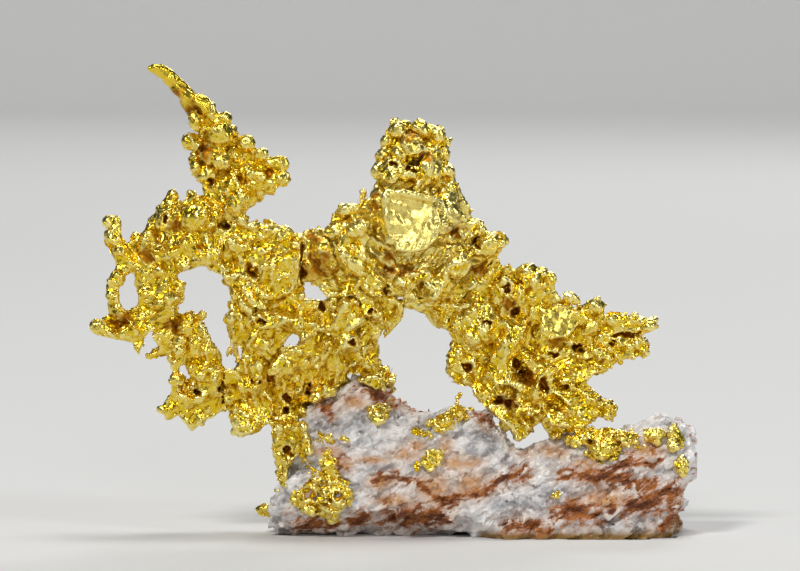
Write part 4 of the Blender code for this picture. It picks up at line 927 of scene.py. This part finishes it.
# The crest is the lump of round grains at the upper left, with one long horn that curves out of its top.
# It stands on the loop and the web, and the horn is drawn out and striated along its length.
CREST_GRAINS = [
    (-33.3, 45.0, 1.05), (-32.6, 47.3, 0.65, 2.0, -72), (-31.4, 48.8, 0.75, 2.7, -46),
    (-33.9, 50.5, 0.62, 3.0, -41), (-29.3, 47.6, 0.9), (-28.6, 46.2, 0.7), (-26.8, 44.9, 1.1),
    (-25.1, 43.6, 0.75), (-23.4, 42.6, 0.9, 1.5, 5), (-22.8, 40.9, 0.9, 1.4, -20), (-24.1, 39.6, 0.75),
    (-29.8, 45.9, 1.5), (-31.0, 41.4, 1.0, 1.3, -50), (-29.5, 42.9, 1.2),
    (-27.8, 38.2, 1.1, 1.5, 75), (-27.0, 38.0, 0.35, 3.0, 82), (-26.6, 41.4, 1.3), (-25.9, 40.2, 0.8),
    (-25.4, 38.6, 0.6), (-30.9, 49.1, 0.5), (-28.3, 43.6, 0.9), (-32.4, 43.1, 0.8), (-31.6, 46.6, 0.7),
]
# The horn leaves the crest left of this x and above this z, leans left, and is striated by streaks.
HORN_X, HORN_Z = -30.9, 48.4
HORN_LEAN = math.radians(38)
HORN_SWELL = 0.26
STREAK_SIZE, STREAK_RISE = (2.6, 0.34, 0.34), 0.30
CREST_ROOT = (-27.0, 36.0)
CREST_SEED = 12

chance = np.random.default_rng(CREST_SEED)
body = body_of("horned_crest_gold")


def off_horn(points):
    """1 all over the crest but on the horn, where no grains grow."""
    return np.where((points[:, 2] > HORN_Z) & (points[:, 0] < HORN_X), 0.0, 1.0)


skin = crumpled([
    body, set_on(body, chance, GRAINS, CREST_GRAINS, 0.15),
    strewn(body, chance, GRAINS, 130, (0.4, 0.95), (1.1, 0.8), sink=0.3, where=off_horn),
    strewn(body, chance, GRAINS, 170, (0.2, 0.36), (1.1, 0.8), where=off_horn),
], CREST_ROOT, cell=0.13, crumple=0.4, calm=lambda points: 1 - off_horn(points), calm_tone=0.4)
drawn = skin.points @ np.array(Matrix.Rotation(-HORN_LEAN, 3, "Y")).T
streaks = ripple(drawn, np.array(STREAK_SIZE))
skin.raised((HORN_SWELL + STREAK_RISE * streaks) * (off_horn(skin.points) < 0.5))
shown("horned_crest", skin, "horned_crest_gold")
crops("crest_crystals", [
    strewn(skin, chance, CUBES + GRAINS, 120, (0.12, 0.34), (1.2, 0.8), lean=0.5, where=off_horn),
])


# The left loop is a ragged ring of leaves and ropes of grains, with a prong, a small ring and a saddle.
# It hangs free from the web and the crest and is thin enough to be bent by a finger.
LOOP_GRAINS = [
    (-35.4, 38.2, 0.75, 2.0, 78), (-32.4, 36.5, 1.6), (-35.8, 36.1, 1.25), (-37.7, 35.2, 0.8),
    (-38.5, 33.1, 1.0), (-30.2, 36.6, 0.7), (-42.5, 35.8, 0.72), (-42.3, 34.2, 0.78), (-41.4, 32.4, 0.75),
    (-39.6, 34.2, 0.5), (-41.6, 29.6, 0.75), (-42.2, 27.4, 0.85), (-41.2, 25.3, 0.8),
    (-43.3, 23.8, 1.0, 1.5, -8), (-40.6, 23.2, 0.9), (-34.6, 32.6, 0.5, 4.2, 24), (-36.6, 30.2, 1.0),
    (-33.6, 24.2, 1.1, 1.6, 70), (-32.6, 21.6, 1.0, 1.6, 75), (-37.2, 20.6, 0.45, 3.0, 18),
    (-36.6, 14.2, 0.5), (-33.2, 12.6, 0.4), (-36.6, 26.4, 0.9), (-34.8, 17.6, 0.9), (-32.0, 18.4, 0.9),
]
LOOP_ROOT = (-30.0, 26.0)
LOOP_SEED = 13

chance = np.random.default_rng(LOOP_SEED)
body = body_of("left_loop_gold")
skin = crumpled([
    body, set_on(body, chance, GRAINS, LOOP_GRAINS, 0.25),
    strewn(body, chance, GRAINS, 130, (0.3, 0.8), (1.5, 0.7), sink=0.35, root=LOOP_ROOT),
    strewn(body, chance, GRAINS, 160, (0.18, 0.34), (1.5, 0.7), root=LOOP_ROOT),
], LOOP_ROOT, cell=0.13, crumple=0.55)
shown("left_loop", skin, "left_loop_gold")
crops("loop_crystals", [
    leaves_on(skin, chance, 100, (0.35, 0.85), 1.4, root=LOOP_ROOT),
    leaf_edges_on(skin, chance, 240, (0.5, 1.2)),
    crystals_on(skin, chance, 140, (0.14, 0.4), 1.4),
])


# The web is the wide sheet of crumpled leaf in the middle. It carries the loop, the crest and the tower
# and goes down into the left of the stone.
WEB_GRAINS = [
    (-26.0, 35.3, 0.7), (-24.5, 35.0, 0.7), (-22.6, 34.0, 0.9), (-21.1, 33.2, 0.7), (-27.9, 34.2, 0.6),
    (-23.5, 31.2, 0.45, 3.6, 14), (-22.8, 29.9, 0.4, 4.0, 10), (-24.6, 32.6, 0.45, 2.8, 20),
    (-25.6, 28.2, 0.45, 3.2, -38), (-26.9, 26.4, 0.45, 3.0, -52), (-23.6, 26.4, 0.45, 3.4, 24),
    (-28.4, 25.1, 0.6, 1.8, 40), (-26.0, 22.8, 0.5, 2.8, 60), (-23.2, 19.6, 0.6, 2.8, 50),
    (-19.4, 24.2, 0.5, 3.2, -20), (-16.6, 26.0, 0.5, 3.2, -30), (-14.4, 24.4, 0.5, 3.0, 40),
    (-17.4, 21.4, 0.6, 2.6, 62), (-13.4, 20.6, 0.5, 3.2, 78), (-20.6, 17.4, 0.5, 3.0, 74),
    (-29.6, 14.4, 0.6), (-25.6, 12.6, 0.6), (-28.0, 20.8, 0.3, 5.0, -78), (-23.3, 13.0, 0.7),
    (-22.5, 13.3, 0.9), (-21.5, 13.4, 0.9), (-20.6, 13.9, 0.8), (-22.2, 12.5, 0.8),
]
WEB_ROOT = (-20.5, 9.0)
WEB_SEED = 14

chance = np.random.default_rng(WEB_SEED)
body = body_of("middle_web_gold")
skin = crumpled([
    body, set_on(body, chance, GRAINS, WEB_GRAINS, 0.2),
    strewn(body, chance, GRAINS, 180, (0.3, 0.85), (2.2, 0.5), sink=0.35, root=WEB_ROOT),
    strewn(body, chance, GRAINS, 180, (0.18, 0.34), (2.0, 0.7), root=WEB_ROOT),
], WEB_ROOT, crumple=0.75)
shown("middle_web", skin, "middle_web_gold")
crops("web_crystals", [
    leaves_on(skin, chance, 170, (0.4, 0.95), 1.6, root=WEB_ROOT),
    leaf_edges_on(skin, chance, 420, (0.5, 1.3), root=WEB_ROOT),
    crystals_on(skin, chance, 150, (0.14, 0.42), 1.5),
])


# The tower is the peak in the middle: lobed heaps of grains round one broad smooth crystal plate, with
# a long rib across its top, and bright blunt crystals at its right shoulder. It stands on the web.
TOWER_PLATE = [
    (-11.2, 38.9), (-10.8, 39.8), (-8.8, 39.5), (-6.4, 38.8), (-5.0, 37.6), (-4.5, 36.0), (-4.9, 34.2),
    (-6.2, 32.9), (-8.0, 32.5), (-9.6, 32.8), (-10.5, 34.4), (-11.0, 36.6),
]
TOWER_GRAINS = [
    (-9.5, 46.2, 1.15), (-6.8, 46.3, 1.0, 1.3, -35), (-4.9, 45.6, 0.95), (-10.7, 45.0, 0.9),
    (-11.0, 43.5, 0.85, 1.4, 15), (-11.4, 41.8, 1.0, 1.2, 50), (-3.7, 41.7, 0.85), (-4.2, 43.5, 0.85),
    (-7.5, 44.3, 1.2), (-9.2, 43.6, 1.0), (-6.1, 42.2, 0.9, 1.5, 70), (-8.3, 41.2, 0.8, 1.5, 20),
    (-3.8, 44.8, 0.5), (-10.0, 41.0, 0.8), (-3.4, 36.9, 1.2, 1.4, -60), (1.1, 33.2, 1.35, 1.25, 30),
    (-2.6, 31.4, 1.2, 1.3, 60), (-11.4, 31.8, 0.9, 1.7, -35), (-14.6, 31.4, 1.1, 2.0, -42),
    (-15.2, 37.3, 0.7, 2.0, 10), (-16.3, 35.2, 1.0, 1.9, 25), (-14.0, 35.4, 1.0, 1.5, 30),
    (-13.4, 39.3, 0.42), (-9.4, 30.2, 0.8), (-6.4, 30.0, 0.8, 1.3, 10), (-4.3, 26.2, 0.8),
]
# Ribs and blades that stand on the plate and beside it.
RIBS = [
    (-7.3, 39.0, 0.46, 6.8, -14), (-4.9, 39.8, 0.36, 3.6, 40), (-2.9, 37.5, 0.40, 6.6, -50),
    (-2.1, 38.3, 0.34, 8.0, -66), (-4.0, 37.4, 0.34, 6.4, -54), (-11.1, 37.6, 0.32, 7.6, -86),
    (-15.0, 31.5, 0.55, 3.2, -50), (-13.9, 32.6, 0.42, 3.4, -46), (-10.6, 31.5, 0.6, 2.2, -45),
    (-13.7, 29.4, 0.4, 3.0, 65), (-16.4, 33.0, 0.45, 2.8, -40), (-3.3, 31.4, 0.45, 3.0, 62),
    (-2.5, 31.0, 0.5, 3.0, 58), (-1.7, 30.7, 0.42, 2.8, 64), (-4.3, 30.2, 0.4, 2.6, 50),
    (0.3, 32.9, 0.6, 2.2, 30), (1.3, 33.6, 0.6, 2.0, 24), (2.2, 33.3, 0.5, 1.8, 10),
    (-5.6, 42.0, 0.4, 3.6, 72), (-7.6, 29.9, 0.42, 3.4, 8), (-9.8, 29.7, 0.4, 3.0, -12),
    (-5.6, 28.6, 0.4, 3.0, -30),
]
TOWER_ROOT = (-8.5, 27.0)
# Where the tower stays smooth: x and z, and the reach along each.
TOWER_CALM = [(-7.9, 36.2, 3.4, 3.9), (-2.6, 38.0, 1.4, 2.0)]
TOWER_SEED = 15

chance = np.random.default_rng(TOWER_SEED)
body = body_of("tower_gold")
off_plate = clear_of(-7.9, 3.4, 36.4, 3.7)
broad_face = plate(TOWER_PLATE, front_at(body.tree(), -7.8, 36.4) - 0.6, (0.05, 0.085), 0.011, 0.9)
skin = crumpled([
    body, set_on(body, chance, GRAINS, TOWER_GRAINS, 0.15), broad_face,
    set_on(Surface.joined([body, broad_face]), chance, CUBES, RIBS, -0.25),
    strewn(body, chance, GRAINS, 150, (0.4, 0.9), (1.5, 0.7), sink=0.35, where=off_plate, root=TOWER_ROOT),
    strewn(body, chance, GRAINS, 200, (0.2, 0.36), (1.7, 0.7), where=off_plate, root=TOWER_ROOT),
], TOWER_ROOT, cell=0.155, crumple=0.55, calm=smooth_on(TOWER_CALM))
shown("tower", skin, "tower_gold")
crops("tower_crystals", [
    leaves_on(skin, chance, 130, (0.4, 0.9), 1.6, off_plate, TOWER_ROOT),
    leaf_edges_on(skin, chance, 480, (0.4, 1.0), 1.0, off_plate),
    crystals_on(skin, chance, 150, (0.14, 0.42), 1.6, off_plate, TOWER_ROOT),
])


# The spray is the fan at the right, a thick leaf that ends in fingers of beads. It has two small flat
# plates and a dark hollow at its middle, and its foot rests on the stone.
SPRAY_PLATE = [(7.0, 23.2), (7.0, 25.6), (9.0, 26.4), (11.2, 25.4), (11.2, 24.0), (10.2, 22.8), (8.0, 22.5)]
PALE_PLATE = [(10.9, 20.2), (11.4, 21.0), (13.2, 20.8), (13.0, 20.2), (12.2, 19.9)]
SPRAY_GRAINS = [
    (13.4, 26.1, 0.95), (15.3, 24.5, 0.75), (16.4, 24.7, 0.6), (17.5, 24.5, 0.75), (18.5, 24.3, 0.6),
    (19.4, 23.9, 0.85), (16.2, 21.7, 0.6), (17.3, 21.4, 0.6), (18.2, 21.6, 0.62), (19.0, 21.0, 0.55),
    (15.8, 20.3, 0.6), (14.6, 19.7, 0.6), (14.0, 19.0, 0.6), (12.3, 16.1, 0.75), (13.3, 15.4, 0.65),
    (14.7, 14.8, 0.7), (15.4, 14.4, 0.5), (14.6, 13.7, 0.55), (8.1, 29.2, 0.85), (5.4, 29.8, 1.2),
    (3.1, 30.2, 0.65), (7.0, 29.8, 0.8), (8.8, 26.9, 0.4), (0.3, 23.4, 0.75, 1.9, 105),
    (-2.6, 24.2, 0.9, 1.5, 90), (4.6, 27.5, 0.7, 2.0, 95), (1.9, 27.9, 0.85, 1.8, 80),
    (-1.0, 29.8, 1.0, 1.5, 60), (2.6, 25.4, 0.6, 2.2, 100), (-0.8, 26.6, 0.7, 1.9, 75),
    (6.2, 25.4, 0.6, 1.9, 85), (10.6, 27.0, 0.6, 1.8, -30), (12.6, 23.6, 0.7, 1.6, 40), (-2.4, 20.6, 0.9),
    (-1.6, 17.6, 0.8), (3.0, 12.6, 0.8), (5.4, 12.4, 0.8), (8.0, 13.4, 0.8), (10.2, 14.4, 0.8),
]
# Where the fingers part, and where the spray stays smooth: x and z, and the reach along each.
FINGER_GAPS = [(20.4, 22.7, 1.8, 0.35), (17.4, 19.2, 0.8, 0.3)]
SPRAY_CALM = [(9.1, 24.4, 2.0, 1.9), (12.0, 20.4, 1.1, 0.5)]
SPRAY_ROOT = (3.0, 15.0)
SPRAY_SEED = 16

chance = np.random.default_rng(SPRAY_SEED)
body = body_of("right_spray_gold")
tree = body.tree()
off_plate = clear_of(9.0, 2.2, 24.4, 1.9)


def on_fingers(points):
    """Most beads grow on the fingers, few on the rest of the spray."""
    return np.where(points[:, 0] > 9.5, 1.0, 0.12) * off_plate(points)


skin = crumpled([
    body, set_on(body, chance, GRAINS, SPRAY_GRAINS, 0.2),
    plate(SPRAY_PLATE, front_at(tree, 9.2, 24.4) - 0.4, (0.10, 0.16), 0.02, 0.7),
    plate(PALE_PLATE, front_at(tree, 12.0, 20.5) - 0.45, (0.05, 0.20), 0.0, 0.6),
    strewn(body, chance, GRAINS, 170, (0.3, 0.8), (1.7, 0.6), sink=0.35, where=off_plate, root=SPRAY_ROOT),
    strewn(body, chance, GRAINS, 240, (0.24, 0.44), (1.0, 0.9), sink=0.1, where=on_fingers),
    strewn(body, chance, GRAINS, 160, (0.18, 0.32), (1.6, 0.7), where=off_plate, root=SPRAY_ROOT),
], SPRAY_ROOT, crumple=0.6, calm=smooth_on(SPRAY_CALM), calm_tone=0.65)
skin.points[:, 0] -= 1.8 * spots(skin.points, FINGER_GAPS)
shown("right_spray", skin, "right_spray_gold")
crops("spray_crystals", [
    leaves_on(skin, chance, 110, (0.35, 0.85), 1.6, off_plate, SPRAY_ROOT),
    leaf_edges_on(skin, chance, 320, (0.5, 1.2), 0.9, off_plate, SPRAY_ROOT),
    crystals_on(skin, chance, 160, (0.14, 0.42), 1.5, off_plate),
    strewn(skin, chance, GRAINS, 300, (0.16, 0.3), sink=0.15, where=on_fingers),
])


# The gold in the stone: a seam that wraps its left end, veins that crop out of its face, and specks.
# They are thin leaf and grains, let into the quartz that grew round them.
SMALL_GOLD = {  # each node, and how far it is swollen before it gets its skin
    "left_end_seam_gold": -0.12, "left_tip_nub_gold": -0.1, "front_patch_gold": -0.45,
    "right_ledge_gold": -0.15, "end_speck_gold": -0.15, "top_speck_gold": -0.12, "face_speck_gold": -0.12,
    "notch_vein_gold": -0.2, "face_fleck_gold": -0.3, "shoulder_fleck_gold": -0.2,
}
# Tiny grains along the stone's cracks: how many, their reach, and the x and z of the crack's corners.
GRAIN_LINES = [
    (34, 0.45, [(-20.4, 9.4), (-19.6, 7.6), (-17.8, 7.4)]),
    (26, 0.5, [(-17.4, 6.0), (-15.2, 5.4), (-14.8, 3.6)]),
    (24, 0.5, [(-18.4, 11.4), (-17.0, 11.2)]), (12, 0.3, [(-15.8, 11.3), (-15.0, 11.0)]),
    (40, 0.5, [(-12.6, 14.4), (-11.4, 13.8), (-10.2, 15.2)]),
    (50, 0.4, [(-7.4, 8.0), (-6.2, 9.2), (-4.6, 9.8)]),
    (60, 0.6, [(-5.6, 12.4), (-3.6, 13.2), (-1.6, 14.2)]), (30, 0.35, [(-7.6, 11.9), (-5.8, 11.8)]),
    (26, 0.4, [(19.2, 11.8), (20.6, 11.4)]), (50, 0.6, [(22.0, 12.0), (22.8, 10.4)]),
    (30, 0.4, [(22.6, 8.4), (23.2, 7.2)]), (10, 0.3, [(8.4, 4.8), (9.0, 5.0)]),
    (90, 0.6, [(10.8, 12.2), (13.4, 11.6), (17.2, 11.4), (17.8, 10.6)]),
    (60, 0.6, [(12.0, 9.6), (14.0, 9.0), (16.2, 9.8)]),
    (60, 0.7, [(-22.4, 13.8), (-21.8, 11.0), (-22.6, 8.0), (-23.4, 5.6)]),
    (16, 0.5, [(-25.2, 3.0), (-24.4, 2.6)]),
]
SMALL_ROOT = (-8.0, 30.0)
SMALL_SEED = 50
SPRINKLE_SEED = 49
# Only the showings longer than this, in mm, get loose crystals of their own.
CROPPED_FROM = 3

chance = np.random.default_rng(SPRINKLE_SEED)
stone_tree = stone.tree()
sprinkled = []
for number, reach, corners in GRAIN_LINES:
    corners = np.array(corners)
    for share in chance.uniform(0, len(corners) - 1, number):
        start = int(share)
        on_line = corners[start] + (share - start) * (corners[start + 1] - corners[start])
        x, z = on_line + chance.normal(0, 0.5 * reach, 2)
        hit = stone_tree.ray_cast(Vector((x, -30.0, z)), Vector((0, 1, 0)))[0]
        if hit:
            sprinkled.append((hit, chance.uniform(0.12, 0.42) * chance.uniform(0.6, 1.0)))
axes = np.array([
    np.array(Matrix.Rotation(chance.uniform(0, math.tau), 3, "Y")) * radius for _, radius in sprinkled
])
axes = axes * chance.uniform(0.7, 1.6, (len(axes), 3, 1))
sprinkled = planted(GRAINS + CUBES + TABLETS, axes, np.array([hit for hit, _ in sprinkled]), chance)
crops("stone_gold_grains", [sprinkled])

for number, (node, swell) in enumerate(SMALL_GOLD.items()):
    chance = np.random.default_rng(SMALL_SEED + number)
    body = body_of(node, swell)
    extent = np.ptp(body.points, axis=0).max()
    many = int(9 * extent)
    skin = crumpled([
        body,
        strewn(body, chance, GRAINS, 2 * many, (0.14, 0.4), (1.3, 0.8), sink=0.3),
    ], SMALL_ROOT, cell=0.11, crumple=0.7)
    skin.marks["stain_and_shade"] = np.clip(skin.marks["stain_and_shade"] + 0.2, 0, 1)
    name = node.removesuffix("_gold")
    shown(name, skin, node)
    if extent > CROPPED_FROM:
        crops(name + "_crystals", [
            strewn(
                skin, chance, LEAFLETS + TABLETS, many, (0.15, 0.45), (1.3, 0.7), 0.4, facing=0.4, hug=0.3
            ),
            strewn(skin, chance, FRILLS, many, (0.3, 0.7), (1.0, 0.9), sink=0.0, facing=0.3, hug=0.25),
            strewn(skin, chance, CUBES, many, (0.12, 0.28), (1.2, 0.8), lean=0.5, sink=0.15),
        ])
